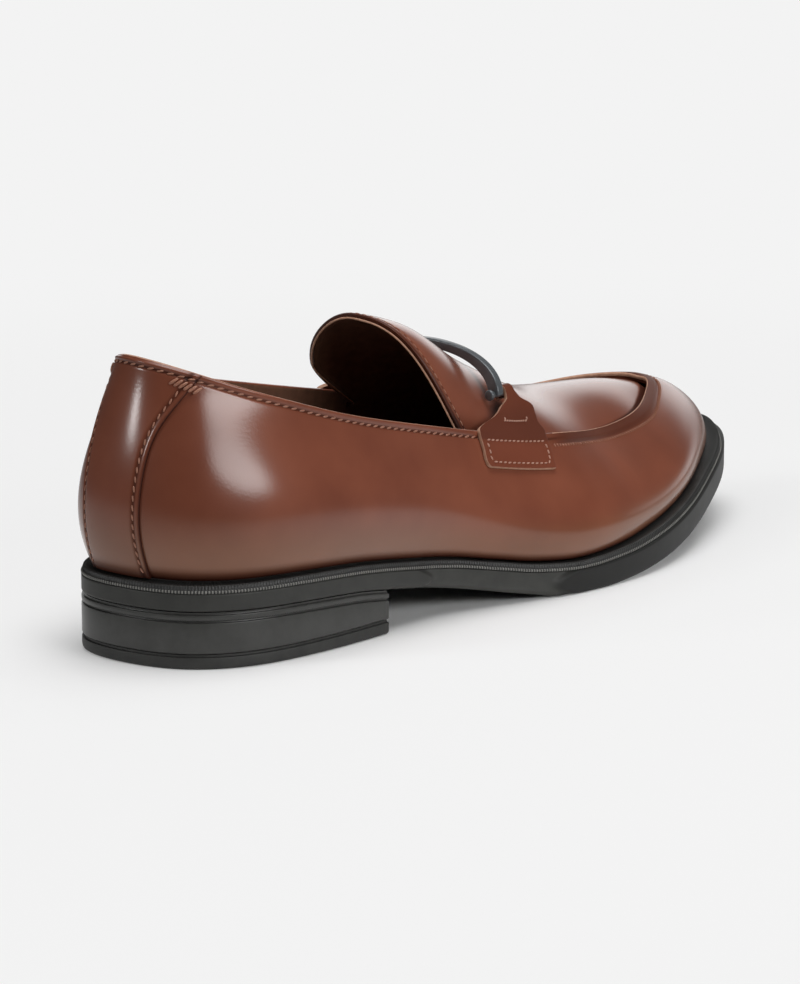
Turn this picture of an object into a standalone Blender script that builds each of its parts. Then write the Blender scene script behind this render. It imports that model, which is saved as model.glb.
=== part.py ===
"""Right horsebit loafer: a dress shoe with a sunken plug, an arched tongue and a metal bit.

Tables and functions are in millimetres. Stations run from the back of the heel to the toe,
y is positive on the inner (medial) side and negative on the outer (lateral) side, z is up.
The meshes are written in metres with the origin under the middle of the shoe.
"""
import math

import bmesh
import bpy
import numpy as np

MM = 0.001

# Driving sizes
LENGTH = 296.5
CLEARANCE = 0.3
UPPER_WALL = 2.0
TONGUE_WALL = 2.4
SHARP_ANGLE = math.radians(40)
# The point under the middle of the whole shoe's length and breadth
ORIGIN = (147.207, -2.056, 0.0)
RING_POINTS = 80
RING_STEP = 0.004
PLAN_POINTS = 1600

# Sole edge seen from above, once round from the back of the heel by the lateral side
PLAN = (
    ("heel back", 0.0, 3.0),
    ("heel quarter lateral", 5.8, -19.0),
    ("heel side lateral", 19.0, -29.8),
    ("heel lateral", 37.0, -34.8),
    ("breast lateral", 76.0, -36.8),
    ("waist lateral", 108.0, -38.6),
    ("joint rear lateral", 146.0, -48.8),
    ("joint lateral", 175.0, -52.0),
    ("vamp lateral", 216.0, -46.0),
    ("toe side lateral", 250.0, -32.8),
    ("toe corner lateral", 281.5, -15.5),
    ("toe tip", 296.5, 4.0),
    ("toe corner medial", 287.0, 22.0),
    ("toe side medial", 262.0, 36.8),
    ("joint medial", 214.0, 47.5),
    ("joint rear medial", 180.0, 43.5),
    ("waist medial", 120.0, 31.0),
    ("breast medial", 76.0, 34.0),
    ("heel medial", 37.0, 35.6),
    ("heel side medial", 17.5, 31.6),
    ("heel quarter medial", 4.4, 22.0),
)

# Heights of the sole: where the upper stands on it, and its underside
SEAT = (
    ("heel back", 0.0, 25.6),
    ("heel", 30.0, 25.2),
    ("breast", 60.0, 23.8),
    ("waist rear", 92.0, 20.0),
    ("waist", 108.0, 17.7),
    ("waist front", 124.0, 14.6),
    ("joint rear", 140.0, 11.8),
    ("joint", 158.0, 10.4),
    ("vamp", 180.0, 11.4),
    ("vamp front", 200.0, 13.6),
    ("toe rear", 230.0, 18.2),
    ("toe", 260.0, 23.8),
    ("toe tip", 296.5, 29.6),
)
TREAD = (
    ("heel back", 0.0, 17.6),
    ("heel", 30.0, 17.2),
    ("breast rear", 60.0, 15.8),
    ("breast", 76.5, 13.8),
    ("waist", 103.0, 9.3),
    ("waist front", 125.0, 4.6),
    ("joint rear", 138.0, 1.9),
    ("joint", 149.0, 0.0),
    ("joint front", 166.0, 0.0),
    ("vamp", 182.0, 0.9),
    ("vamp front", 200.0, 2.7),
    ("toe rear", 230.0, 7.0),
    ("toe", 260.0, 12.4),
    ("toe tip", 296.5, 19.2),
)
# How far the foot of the upper stands in from the sole edge
MARGIN = (
    ("heel back", 0.0, 3.4),
    ("breast", 76.0, 2.4),
    ("waist", 112.0, 2.2),
    ("joint", 160.0, 2.6),
    ("vamp", 200.0, 4.4),
    ("toe", 250.0, 4.8),
    ("toe corner", 275.0, 5.3),
    ("toe tip", 296.5, 6.7),
)

# Ribs of the upper: the sole-edge station each starts from, then its top edge (collar, or
# apron ridge forward of the bit) on the two sides, how far the wall swells between on each,
# and how high it is crowned over the toes
RIBS = (
    ("heel back", 0.0, 8.5, 2.0, 90.6, 2.0, 90.6, 6.8, 6.8, 0.0),
    ("heel quarter", 7.0, 14.5, -13.0, 87.2, 15.4, 89.2, 6.8, 6.8, 0.0),
    ("heel side", 22.0, 27.0, -22.0, 81.8, 23.0, 84.6, 6.4, 6.4, 0.0),
    ("counter", 44.0, 45.5, -28.0, 75.2, 28.0, 78.4, 5.8, 5.8, 0.0),
    ("quarter rear", 68.0, 68.0, -30.8, 68.2, 29.8, 72.6, 5.4, 5.6, 0.0),
    ("quarter", 96.0, 96.5, -31.5, 61.2, 31.0, 66.2, 5.6, 6.2, 0.0),
    ("quarter front", 124.0, 124.0, -31.5, 55.0, 32.0, 60.4, 6.0, 6.6, 0.0),
    ("bit", 150.0, 149.0, -31.5, 50.0, 32.5, 55.4, 6.6, 7.0, 0.0),
    ("vamp rear", 176.0, 171.0, -30.3, 46.7, 31.6, 50.8, 7.0, 7.0, 0.1),
    ("vamp", 205.0, 197.0, -25.2, 43.2, 29.0, 47.6, 7.0, 7.6, 0.7),
    ("vamp front", 234.0, 222.0, -20.0, 43.2, 26.0, 46.4, 7.0, 8.2, 1.6),
    ("toe rear", 261.0, 242.2, -10.8, 44.4, 20.8, 46.9, 5.0, 6.4, 3.0),
    ("toe side", 283.0, 256.0, -2.2, 46.2, 12.8, 47.4, 4.0, 5.0, 2.8),
    ("toe tip", 296.5, 260.2, 5.0, 46.6, 5.0, 46.6, 4.6, 4.6, 3.8),
)
# Height of the middle line over plug and tongue
CREST = (
    ("tongue end", 109.0, 89.6),
    ("tongue", 123.5, 85.6),
    ("bit", 147.5, 72.4),
    ("throat", 164.0, 64.4),
    ("vamp rear", 184.0, 56.4),
    ("vamp", 204.0, 52.4),
    ("vamp front", 224.0, 50.6),
    ("toe rear", 244.0, 48.6),
    ("toe", 261.0, 45.6),
)

# Wall profile of the upper: the swell is fullest low on the wall, the crown high on it
SWELL_UP = 1.0
SWELL_DOWN = 1.67
CROWN_UP = 1.5
CROWN_DOWN = 0.8
WALL_RISES = (0.0, 0.04, 0.1, 0.18, 0.28, 0.4, 0.52, 0.64, 0.76, 0.86, 0.895, 0.91, 0.955, 1.0)

# Apron ridge: a raised band on the top of the wall, and the drop to the plug inside it
RIDGE_START = 0.9
RIDGE_STEP = 0.01
INNER_TOP = 0.93
RIDGE_RAISE = 0.9
RIDGE_FROM = 160.0
RIDGE_FULL = 172.0
PLUG_INSET = 1.6
PLUG_DROP = 2.0
PLUG_COLUMNS = 12
THROAT = 156.0
# Stretch of the ring that the instep lies over, and how finely a station is looked up on it
INSTEP_RING = (0.2, 0.8)
FINE_POINTS = 400

# Cross section of plug and tongue: flatter over the toes, fuller at the tongue's end
FLAT_DOME = 2.1
FULL_DOME_LATERAL = 2.9
FULL_DOME_MEDIAL = 2.6
DOME_FLAT_AT = 144.0
DOME_FULL_AT = 112.0

# Tongue: its end reaches furthest back over the middle and is swept forward down each side,
# as a distance and a power; the sides tuck inside the collar
TONGUE_END = 108.2
TONGUE_SWEEP_LATERAL = (15.6, 2.2)
TONGUE_SWEEP_MEDIAL = (30.0, 6.6)
TONGUE_ROWS = 11
TONGUE_COLUMNS = 14
TONGUE_INSET = 2.8
TONGUE_TUCK = 3.2
TONGUE_BULGE = 8.4
BULGE_SHARE = (0.15, 0.5)

# Backstay: reach from the middle of the heel back on each side, up the wall
BACKSTAY = (
    ("foot", 0.02, 10.6, 17.5),
    ("low", 0.25, 9.6, 16.6),
    ("middle", 0.5, 9.5, 16.8),
    ("upper", 0.7, 11.1, 18.0),
    ("flare", 0.86, 15.0, 20.5),
    ("collar", 0.975, 17.4, 23.5),
)
BACKSTAY_WALL = 0.9
BACKSTAY_LIFT = 0.4
BACKSTAY_COLUMNS = 10
BACKSTAY_ROWS = 12

# Sole layers, measured down from the seat
WELT_THICK = 2.6
WELT_WIDTH = 11.0
WELT_STEP = 1.4
WELT_STEP_FROM = 270.0
HEEL_BREAST = 76.5
HEEL_POINTS = 17
HEEL_LIFT = 2.3
TOP_PIECE = 4.5
GROOVE_DEEP = 0.8
GROOVE_HIGH = 0.7
EDGE_ROUND = 1.2
ROUND_SHARE = 0.3
WAIST_RECESS = 1.3
WAIST_FROM = 99.0
WAIST_TO = 143.0
WAIST_BLEND = 7.0
TIER_PROUD = 0.8
TIER_BLEND = 60.0
INSOLE_THICK = 3.0
INSOLE_INSET = 4.2

# Bit: an arched bar across the instep, thicker down its sides and leaning back to its ends,
# each of which holds a short cross pin with disc ends
BIT_STATION = 149.5
BIT_LEAN = 3.4
BIT_LEAN_POWER = 3.0
BIT_WIDE = 3.0
BIT_THICK = 3.0
BIT_SIDE_THICK = 4.3
BIT_CHAMFER = 0.7
BIT_STEPS = 28
BIT_CREST = 75.8
BIT_ROUND = 1.0
CROSS_RADIUS = 1.1
CROSS_SIDES = 12
CROSS_PROFILE = (
    (142.4, 1.1), (142.8, 1.55), (143.6, 1.55), (143.6, 1.0),
    (152.5, 1.0), (152.5, 1.5), (153.4, 1.5), (153.8, 1.1),
)
CROSS_LATERAL = (-23.4, 61.9)
CROSS_MEDIAL = (24.2, 66.6)

# Tabs: bottle outline as middle station and half width up the tab, then the fold
TAB_WALL = 1.2
TAB_OUTLINE = (
    ("foot", 0.0, 140.0, 15.6),
    ("body", 0.5, 142.0, 16.5),
    ("shoulder", 1.0, 143.1, 16.9),
    ("waist", 1.2, 144.4, 13.9),
    ("neck foot", 1.4, 148.0, 10.3),
    ("neck", 1.6, 150.2, 7.8),
    ("neck top", 1.8, 150.4, 3.1),
    ("fold", 2.0, 150.2, 2.0),
    ("fold end", 4.0, 150.2, 2.0),
)
TAB_FOOT_RISE = 0.72
TAB_LEG = 1.2
TAB_COLUMNS = 8
TAB_STEPS = 5

COLOURS = {
    "upper": ((0.165, 0.050, 0.026), 0.32, 0.0),
    "tongue": ((0.180, 0.056, 0.030), 0.34, 0.0),
    "backstay": ((0.130, 0.040, 0.022), 0.34, 0.0),
    "insole": ((0.020, 0.011, 0.007), 0.70, 0.0),
    "welt": ((0.012, 0.012, 0.012), 0.50, 0.0),
    "outsole": ((0.014, 0.014, 0.014), 0.50, 0.0),
    "heel_block": ((0.014, 0.014, 0.014), 0.50, 0.0),
    "heel_top_piece": ((0.012, 0.012, 0.012), 0.60, 0.0),
    "tab_lateral": ((0.110, 0.034, 0.020), 0.38, 0.0),
    "tab_medial": ((0.110, 0.034, 0.020), 0.38, 0.0),
    "bit": ((0.120, 0.125, 0.130), 0.22, 1.0),
}


def spline(knots, values, closed=False):
    """Cubic spline through the rows of values; a closed one repeats its first row at the end."""
    t = np.asarray(knots, float)
    y = np.asarray(values, float).reshape(len(t), -1)
    h = np.diff(t)
    slope = np.diff(y, axis=0) / h[:, None]
    n = len(t)
    system = np.eye(n)
    right = np.zeros_like(y)
    for i in range(1, n - 1):
        system[i, i - 1:i + 2] = h[i - 1], 2 * (h[i - 1] + h[i]), h[i]
        right[i] = 6 * (slope[i] - slope[i - 1])
    if closed:
        system[0] = 0
        system[0, 0] = 2 * (h[-1] + h[0])
        system[0, 1] = h[0]
        system[0, n - 2] = h[-1]
        right[0] = 6 * (slope[0] - slope[-1])
        system[n - 1, 0] = -1
    bend = np.linalg.solve(system, right)

    def at(x):
        x = np.atleast_1d(np.asarray(x, float))
        i = np.clip(np.searchsorted(t, x, side="right") - 1, 0, n - 2)
        a = ((t[i + 1] - x) / h[i])[:, None]
        b = 1 - a
        curve = (a ** 3 - a) * bend[i] + (b ** 3 - b) * bend[i + 1]
        return a * y[i] + b * y[i + 1] + curve * (h[i] ** 2)[:, None] / 6

    return at


def heights(rows):
    """Height along the shoe through a table's rows, never over- or undershooting a row."""
    x = np.array([row[1] for row in rows])
    z = np.array([row[2] for row in rows])
    slope = np.diff(z) / np.diff(x)
    lean = np.zeros_like(x)
    lean[0], lean[-1] = slope[0], slope[-1]
    for i in range(1, len(x) - 1):
        if slope[i - 1] * slope[i] > 0:
            lean[i] = 2 * slope[i - 1] * slope[i] / (slope[i - 1] + slope[i])

    def at(s):
        s = np.clip(np.asarray(s, float), x[0], x[-1])
        i = np.clip(np.searchsorted(x, s, side="right") - 1, 0, len(x) - 2)
        h = x[i + 1] - x[i]
        u = (s - x[i]) / h
        start = z[i] * (1 + 2 * u) * (1 - u) ** 2 + lean[i] * h * u * (1 - u) ** 2
        return start + z[i + 1] * u * u * (3 - 2 * u) + lean[i + 1] * h * u * u * (u - 1)

    return at


def ramp(x, start, end):
    """Smooth step from 0 at start to 1 at end."""
    u = np.clip((np.asarray(x, float) - start) / (end - start), 0, 1)
    return u * u * (3 - 2 * u)


def unit(vectors):
    return vectors / np.linalg.norm(vectors, axis=-1, keepdims=True)


seat = heights(SEAT)
tread = heights(TREAD)
margin = heights(MARGIN)
crest = spline([row[1] for row in CREST], [row[2] for row in CREST])


def trace_plan():
    """The sole edge as two runs of points, heel to toe, lateral first."""
    points = np.array([row[1:] for row in PLAN] + [PLAN[0][1:]])
    run = np.concatenate([[0], np.cumsum(np.linalg.norm(np.diff(points, axis=0), axis=1))])
    curve = spline(run, points, closed=True)(np.linspace(0, run[-1], PLAN_POINTS))
    tip = int(np.argmax(curve[:, 0]))
    back = int(np.argmin(curve[:, 0]))
    turned = np.roll(curve[:-1], -back, axis=0)
    tip = (tip - back) % len(turned)
    return turned[:tip + 1], np.concatenate([turned[tip:], turned[:1]])[::-1]


LATERAL_EDGE, MEDIAL_EDGE = trace_plan()


def ring_at(station):
    """Place on the ring, 0 at the heel back to 1 at the toe, of a sole-edge station."""
    return np.arccos(np.clip(1 - 2 * np.asarray(station, float) / LENGTH, -1, 1)) / math.pi


def edge(ring):
    """Sole edge at ring places: 0 to 1 lateral, 1 to 2 back along the medial side."""
    ring = np.mod(np.asarray(ring, float), 2)
    low, high = LATERAL_EDGE[0, 0], LATERAL_EDGE[-1, 0]
    x = low + (high - low) * (1 - np.cos(math.pi * ring)) / 2
    lateral = np.interp(x, LATERAL_EDGE[:, 0], LATERAL_EDGE[:, 1])
    medial = np.interp(x, MEDIAL_EDGE[:, 0], MEDIAL_EDGE[:, 1])
    return np.stack([x, np.where(ring <= 1, lateral, medial)], -1)


def outward(ring):
    """Level direction out of the sole edge."""
    along = edge(ring + RING_STEP) - edge(ring - RING_STEP)
    return unit(np.stack([along[..., 1], -along[..., 0]], -1))


def inset(ring, depth):
    """Sole edge moved in by depth, which may differ from point to point."""
    return edge(ring) - outward(ring) * np.broadcast_to(depth, np.shape(ring))[..., None]


def rib_table():
    """Top edge and swell of the upper as one closed curve over the ring."""
    lateral = [(ring_at(r[1]), r[2], r[3], r[4], r[7], r[9]) for r in RIBS]
    medial = [(2 - ring_at(r[1]), r[2], r[5], r[6], r[8], r[9]) for r in reversed(RIBS[1:-1])]
    rows = np.array(lateral + medial + [(2.0,) + lateral[0][1:]], float)
    return spline(rows[:, 0], rows[:, 1:], closed=True)


ribs = rib_table()
SWELL_TOP = SWELL_UP / (SWELL_UP + SWELL_DOWN)
SWELL_FULL = SWELL_TOP ** SWELL_UP * (1 - SWELL_TOP) ** SWELL_DOWN
CROWN_TOP = CROWN_UP / (CROWN_UP + CROWN_DOWN)
CROWN_FULL = CROWN_TOP ** CROWN_UP * (1 - CROWN_TOP) ** CROWN_DOWN


def top_edge(ring):
    return ribs(np.mod(ring, 2))[:, :3]


def wall(ring, rise):
    """Outer face of the upper's wall: rise 0 at the sole, 1 at the top edge."""
    ring = np.mod(np.atleast_1d(np.asarray(ring, float)), 2)
    rise = np.broadcast_to(np.asarray(rise, float), ring.shape)
    foot = inset(ring, margin(edge(ring)[:, 0]))
    foot = np.column_stack([foot, seat(foot[:, 0]) + CLEARANCE])
    rib = ribs(ring)
    up = np.clip(rise, 0, 1)
    swell = rib[:, 3] * up ** SWELL_UP * (1 - up) ** SWELL_DOWN / SWELL_FULL
    point = foot + (rib[:, :3] - foot) * rise[:, None]
    point[:, :2] += outward(ring) * swell[:, None]
    point[:, 2] += rib[:, 4] * up ** CROWN_UP * (1 - up) ** CROWN_DOWN / CROWN_FULL
    return point


def wall_normal(ring, rise):
    ring = np.atleast_1d(np.asarray(ring, float))
    rise = np.broadcast_to(np.asarray(rise, float), ring.shape)
    round_it = wall(ring + RING_STEP, rise) - wall(ring - RING_STEP, rise)
    up_it = wall(ring, np.minimum(rise + RING_STEP, 1)) - wall(ring, np.maximum(rise - RING_STEP, 0))
    return unit(np.cross(round_it, up_it))


def skin(ring, rise, lift):
    """The wall's face moved along its normal by lift."""
    lift = np.broadcast_to(np.asarray(lift, float), np.shape(np.atleast_1d(ring)))
    return wall(ring, rise) + wall_normal(ring, rise) * lift[:, None]


def instep(left, right, middle, columns):
    """A row of points over the instep, from a left to a right foot, domed up to the middle height."""
    c = np.linspace(-1, 1, columns + 1)
    row = (left + right) / 2 + (right - left) / 2 * c[:, None]
    dome = middle - (left[2] + right[2]) / 2
    full = np.where(c < 0, FULL_DOME_LATERAL, FULL_DOME_MEDIAL)
    power = FLAT_DOME + (full - FLAT_DOME) * ramp((left[0] + right[0]) / 2, DOME_FLAT_AT, DOME_FULL_AT)
    row[:, 2] += dome * (1 - np.abs(c) ** power)
    return row


def placed(points):
    """Millimetres from the heel back to metres about the origin."""
    return (np.asarray(points, float) - ORIGIN) * MM


def add_object(name, points, faces, finish=None):
    """One closed piece from points and faces, facing out, with its own material."""
    mesh = bpy.data.meshes.new(name)
    mesh.from_pydata([tuple(p) for p in placed(points)], [], [tuple(f) for f in faces])
    bm = bmesh.new()
    bm.from_mesh(mesh)
    bmesh.ops.recalc_face_normals(bm, faces=bm.faces)
    if bm.calc_volume(signed=True) < 0:
        bmesh.ops.reverse_faces(bm, faces=bm.faces)
    bm.to_mesh(mesh)
    bm.free()
    mesh.shade_smooth()
    mesh.set_sharp_from_angle(angle=SHARP_ANGLE)
    piece = bpy.data.objects.new(name, mesh)
    bpy.context.scene.collection.objects.link(piece)
    colour, roughness, metallic = COLOURS[finish or name]
    material = bpy.data.materials.new(name)
    material.use_nodes = True
    shader = material.node_tree.nodes["Principled BSDF"]
    shader.inputs["Base Color"].default_value = (*colour, 1)
    shader.inputs["Roughness"].default_value = roughness
    shader.inputs["Metallic"].default_value = metallic
    mesh.materials.append(material)
    return piece


def band(first, second):
    """Quads between two closed loops of point numbers."""
    n = len(first)
    return [(first[i], first[(i + 1) % n], second[(i + 1) % n], second[i]) for i in range(n)]


def rungs(loop):
    """Faces across a closed loop, from each point to the one that mirrors it."""
    n = len(loop)
    faces = [(loop[0], loop[1], loop[n - 1])]
    for i in range(1, (n - 1) // 2):
        faces.append((loop[i], loop[i + 1], loop[n - i - 1], loop[n - i]))
    if n % 2 == 0:
        faces.append((loop[n // 2 - 1], loop[n // 2], loop[n // 2 + 1]))
    return faces


def loft(name, loops, ring_closed=False, finish=None):
    """A solid through closed loops: capped at both ends, or a tube that closes on itself."""
    count = len(loops[0])
    numbers = [list(range(k * count, (k + 1) * count)) for k in range(len(loops))]
    faces = []
    for k in range(len(loops) - 1):
        faces += band(numbers[k], numbers[k + 1])
    if ring_closed:
        faces += band(numbers[-1], numbers[0])
    else:
        faces += rungs(numbers[0]) + rungs(numbers[-1])
    return add_object(name, np.concatenate(loops), faces, finish)


def slab(name, outer, inner):
    """A solid between two grids of points, rows by columns."""
    rows, columns = outer.shape[:2]
    number = np.arange(rows * columns).reshape(rows, columns)
    behind = number + rows * columns
    faces = []
    for grid in (number, behind):
        for r in range(rows - 1):
            for c in range(columns - 1):
                faces.append((grid[r, c], grid[r, c + 1], grid[r + 1, c + 1], grid[r + 1, c]))
    rim = list(number[0]) + list(number[1:, -1]) + list(number[-1, -2::-1]) + list(number[-2:0:-1, 0])
    faces += band(rim, [k + rows * columns for k in rim])
    return add_object(name, np.concatenate([outer.reshape(-1, 3), inner.reshape(-1, 3)]), faces)


def grid_normals(grid):
    """Normals of a grid of points from its rows and columns."""
    along = np.gradient(grid, axis=0)
    across = np.gradient(grid, axis=1)
    return unit(np.cross(along, across))


def ridge_raise(ring, rise):
    """How far the apron ridge stands out of the wall."""
    station = top_edge(ring)[:, 0]
    fade = ramp(station, RIDGE_FROM, RIDGE_FULL)
    return RIDGE_RAISE * fade * (np.broadcast_to(rise, np.shape(ring)) > RIDGE_START)


def plug_row(ring, inward):
    """One row of the plug between the two ridges, moved down into the wall by inward."""
    left = top_edge(np.array([ring]))[0]
    right = top_edge(np.array([2 - ring]))[0]
    across = unit(right - left)
    drop = (0, 0, PLUG_DROP + inward)
    left_foot = left + across * (PLUG_INSET + inward / 2) - drop
    right_foot = right - across * (PLUG_INSET + inward / 2) - drop
    middle = crest((left[0] + right[0]) / 2)[0, 0] - inward
    middle = max(middle, (left_foot[2] + right_foot[2]) / 2)
    return instep(left_foot, right_foot, middle, PLUG_COLUMNS)


def build_upper():
    """The hollow wall with its ridge, closed over the toe by the plug."""
    ring = np.arange(RING_POINTS) * 2 / RING_POINTS
    outer = [skin(ring, t, ridge_raise(ring, t)) for t in WALL_RISES]
    inner_rises = tuple(t for t in WALL_RISES if t < RIDGE_START - RIDGE_STEP) + (INNER_TOP,)
    inner = [skin(ring, t, -UPPER_WALL) for t in inner_rises[1:]]
    foot = inner[0].copy()
    foot[:, 2] = outer[0][:, 2]
    inner = [foot] + inner
    inner_top = skin(ring, 1.0, -UPPER_WALL)
    half = RING_POINTS // 2
    stations = top_edge(ring)[:, 0]
    corner = int(np.argmax(stations[:half] > THROAT))
    rows = list(range(corner, half))
    plug = [plug_row(ring[i], 0.0) for i in rows]
    lining = [plug_row(ring[i], UPPER_WALL) for i in rows]
    tip = top_edge(np.array([1.0]))[0] - (PLUG_INSET, 0, PLUG_DROP)
    lining_tip = tip - (UPPER_WALL, 0, UPPER_WALL)

    points = []

    def store(block):
        start = sum(len(b) for b in points)
        points.append(np.asarray(block, float).reshape(-1, 3))
        return list(range(start, start + len(points[-1])))

    out = [store(loop) for loop in outer]
    inn = [store(loop) for loop in inner] + [store(inner_top)]
    plug_out = [store(row) for row in plug]
    plug_in = [store(row) for row in lining]
    tip_out = store(tip)[0]
    tip_in = store(lining_tip)[0]

    faces = []
    for loops in (out, inn):
        for k in range(len(loops) - 1):
            faces += band(loops[k], loops[k + 1])
    faces += band(out[0], inn[0])
    for top, bed, point in ((out[-1], plug_out, tip_out), (inn[-1], plug_in, tip_in)):
        for k, i in enumerate(rows):
            j = RING_POINTS - i
            if k + 1 < len(rows):
                next_left, next_right = bed[k + 1][0], bed[k + 1][-1]
                for c in range(PLUG_COLUMNS):
                    faces.append((bed[k][c], bed[k][c + 1], bed[k + 1][c + 1], bed[k + 1][c]))
            else:
                next_left = next_right = point
                for c in range(PLUG_COLUMNS):
                    faces.append((bed[k][c], bed[k][c + 1], point))
            faces.append((top[i], top[i + 1], next_left, bed[k][0]))
            faces.append((top[j], top[(j - 1) % RING_POINTS], next_right, bed[k][-1]))
    for c in range(PLUG_COLUMNS):
        faces.append((plug_out[0][c], plug_out[0][c + 1], plug_in[0][c + 1], plug_in[0][c]))
    left, right = corner, RING_POINTS - corner
    faces.append((out[-1][left], plug_out[0][0], plug_in[0][0], inn[-1][left]))
    faces.append((out[-1][right], plug_out[0][-1], plug_in[0][-1], inn[-1][right]))
    collar = [i % RING_POINTS for i in range(right, RING_POINTS + left + 1)]
    for a, b in zip(collar, collar[1:]):
        faces.append((out[-1][a], out[-1][b], inn[-1][b], inn[-1][a]))
    add_object("upper", np.concatenate(points), faces)


def build_tongue():
    """The arched flap from the throat back over the instep."""
    half = RING_POINTS // 2
    ring = np.arange(half + 1) / half
    start = top_edge(ring)[:, 0]
    front = start[int(np.argmax(start > THROAT))] - CLEARANCE
    fine = np.linspace(*INSTEP_RING, FINE_POINTS)
    station = top_edge(fine)[:, 0]
    grid = np.zeros((TONGUE_ROWS + 1, TONGUE_COLUMNS + 1, 3))
    column = np.linspace(-1, 1, TONGUE_COLUMNS + 1)
    lateral = TONGUE_SWEEP_LATERAL[0] * np.abs(column) ** TONGUE_SWEEP_LATERAL[1]
    medial = TONGUE_SWEEP_MEDIAL[0] * np.abs(column) ** TONGUE_SWEEP_MEDIAL[1]
    end = TONGUE_END + np.where(column < 0, lateral, medial)
    for r in range(TONGUE_ROWS + 1):
        back = r / TONGUE_ROWS
        for c in range(TONGUE_COLUMNS + 1):
            x = front + (end[c] - front) * back
            place = np.interp(x, station, fine)
            left = top_edge(np.array([place]))[0]
            right = top_edge(np.array([2 - place]))[0]
            across = unit(right - left)
            left_foot = left + across * TONGUE_INSET - (0, 0, TONGUE_TUCK)
            right_foot = right - across * TONGUE_INSET - (0, 0, TONGUE_TUCK)
            point = instep(left_foot, right_foot, crest(x)[0, 0], TONGUE_COLUMNS)[c]
            high = (point[2] - left_foot[2]) / (crest(x)[0, 0] - left_foot[2])
            bulge = TONGUE_BULGE * ramp(back, 0, 1) * ramp(high, *BULGE_SHARE) * (1 - high)
            grid[r, c] = (x, point[1] + bulge * (column[c] > 0), point[2])
    normal = grid_normals(grid)
    if normal[TONGUE_ROWS // 2, TONGUE_COLUMNS // 2, 2] < 0:
        normal = -normal
    slab("tongue", grid, grid - normal * TONGUE_WALL)


def build_backstay():
    """The strip up the heel back, cut from the wall's own face."""
    rises = np.linspace(BACKSTAY[0][1], BACKSTAY[-1][1], BACKSTAY_ROWS)
    lateral = spline([r[1] for r in BACKSTAY], [r[2] for r in BACKSTAY])(rises)[:, 0]
    medial = spline([r[1] for r in BACKSTAY], [r[3] for r in BACKSTAY])(rises)[:, 0]
    outer, inner = [], []
    for k, rise in enumerate(rises):
        pace = np.linalg.norm(wall(RING_STEP, rise) - wall(-RING_STEP, rise)) / (2 * RING_STEP)
        ring = np.linspace(-medial[k], lateral[k], BACKSTAY_COLUMNS + 1) / pace
        outer.append(skin(ring, rise, BACKSTAY_LIFT + BACKSTAY_WALL))
        inner.append(skin(ring, rise, BACKSTAY_LIFT))
    slab("backstay", np.array(outer), np.array(inner))


def loop_at(ring, depth, height):
    """Closed loop on the sole edge moved in by depth, at a height worked out from its stations."""
    plan = inset(ring, depth)
    return np.column_stack([plan, height(plan[:, 0])])


def build_sole():
    """Welt, outsole and insole, each a stack of loops that follow the sole edge."""
    ring = np.arange(RING_POINTS) * 2 / RING_POINTS
    station = edge(ring)[:, 0]
    under_welt = WELT_THICK + CLEARANCE

    def low(x):
        return seat(x) - WELT_THICK

    def ledge(x):
        return seat(x) - under_welt

    lip = WELT_STEP * ramp(station, WELT_STEP_FROM, LENGTH)
    loft("welt", [
        loop_at(ring, lip, low),
        loop_at(ring, lip, seat),
        loop_at(ring, WELT_WIDTH, seat),
        loop_at(ring, WELT_WIDTH, low),
    ], ring_closed=True)

    waist = ramp(station, WAIST_FROM, WAIST_FROM + WAIST_BLEND)
    waist = waist * (1 - ramp(station, WAIST_TO - WAIST_BLEND, WAIST_TO))
    tier = ramp(station, WAIST_TO, WAIST_TO + TIER_BLEND)
    side = WAIST_RECESS * waist - TIER_PROUD * tier
    loft("outsole", [
        loop_at(ring, side + EDGE_ROUND, tread),
        loop_at(ring, side + EDGE_ROUND * ROUND_SHARE, lambda x: tread(x) + EDGE_ROUND * ROUND_SHARE),
        loop_at(ring, side, lambda x: tread(x) + EDGE_ROUND),
        loop_at(ring, side, ledge),
        loop_at(ring, WELT_WIDTH + CLEARANCE, ledge),
        loop_at(ring, WELT_WIDTH + CLEARANCE, seat),
    ])
    sock = margin(station) + INSOLE_INSET
    loft("insole", [
        loop_at(ring, sock, lambda x: seat(x) + CLEARANCE),
        loop_at(ring, sock, lambda x: seat(x) + CLEARANCE + INSOLE_THICK),
    ])


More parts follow.
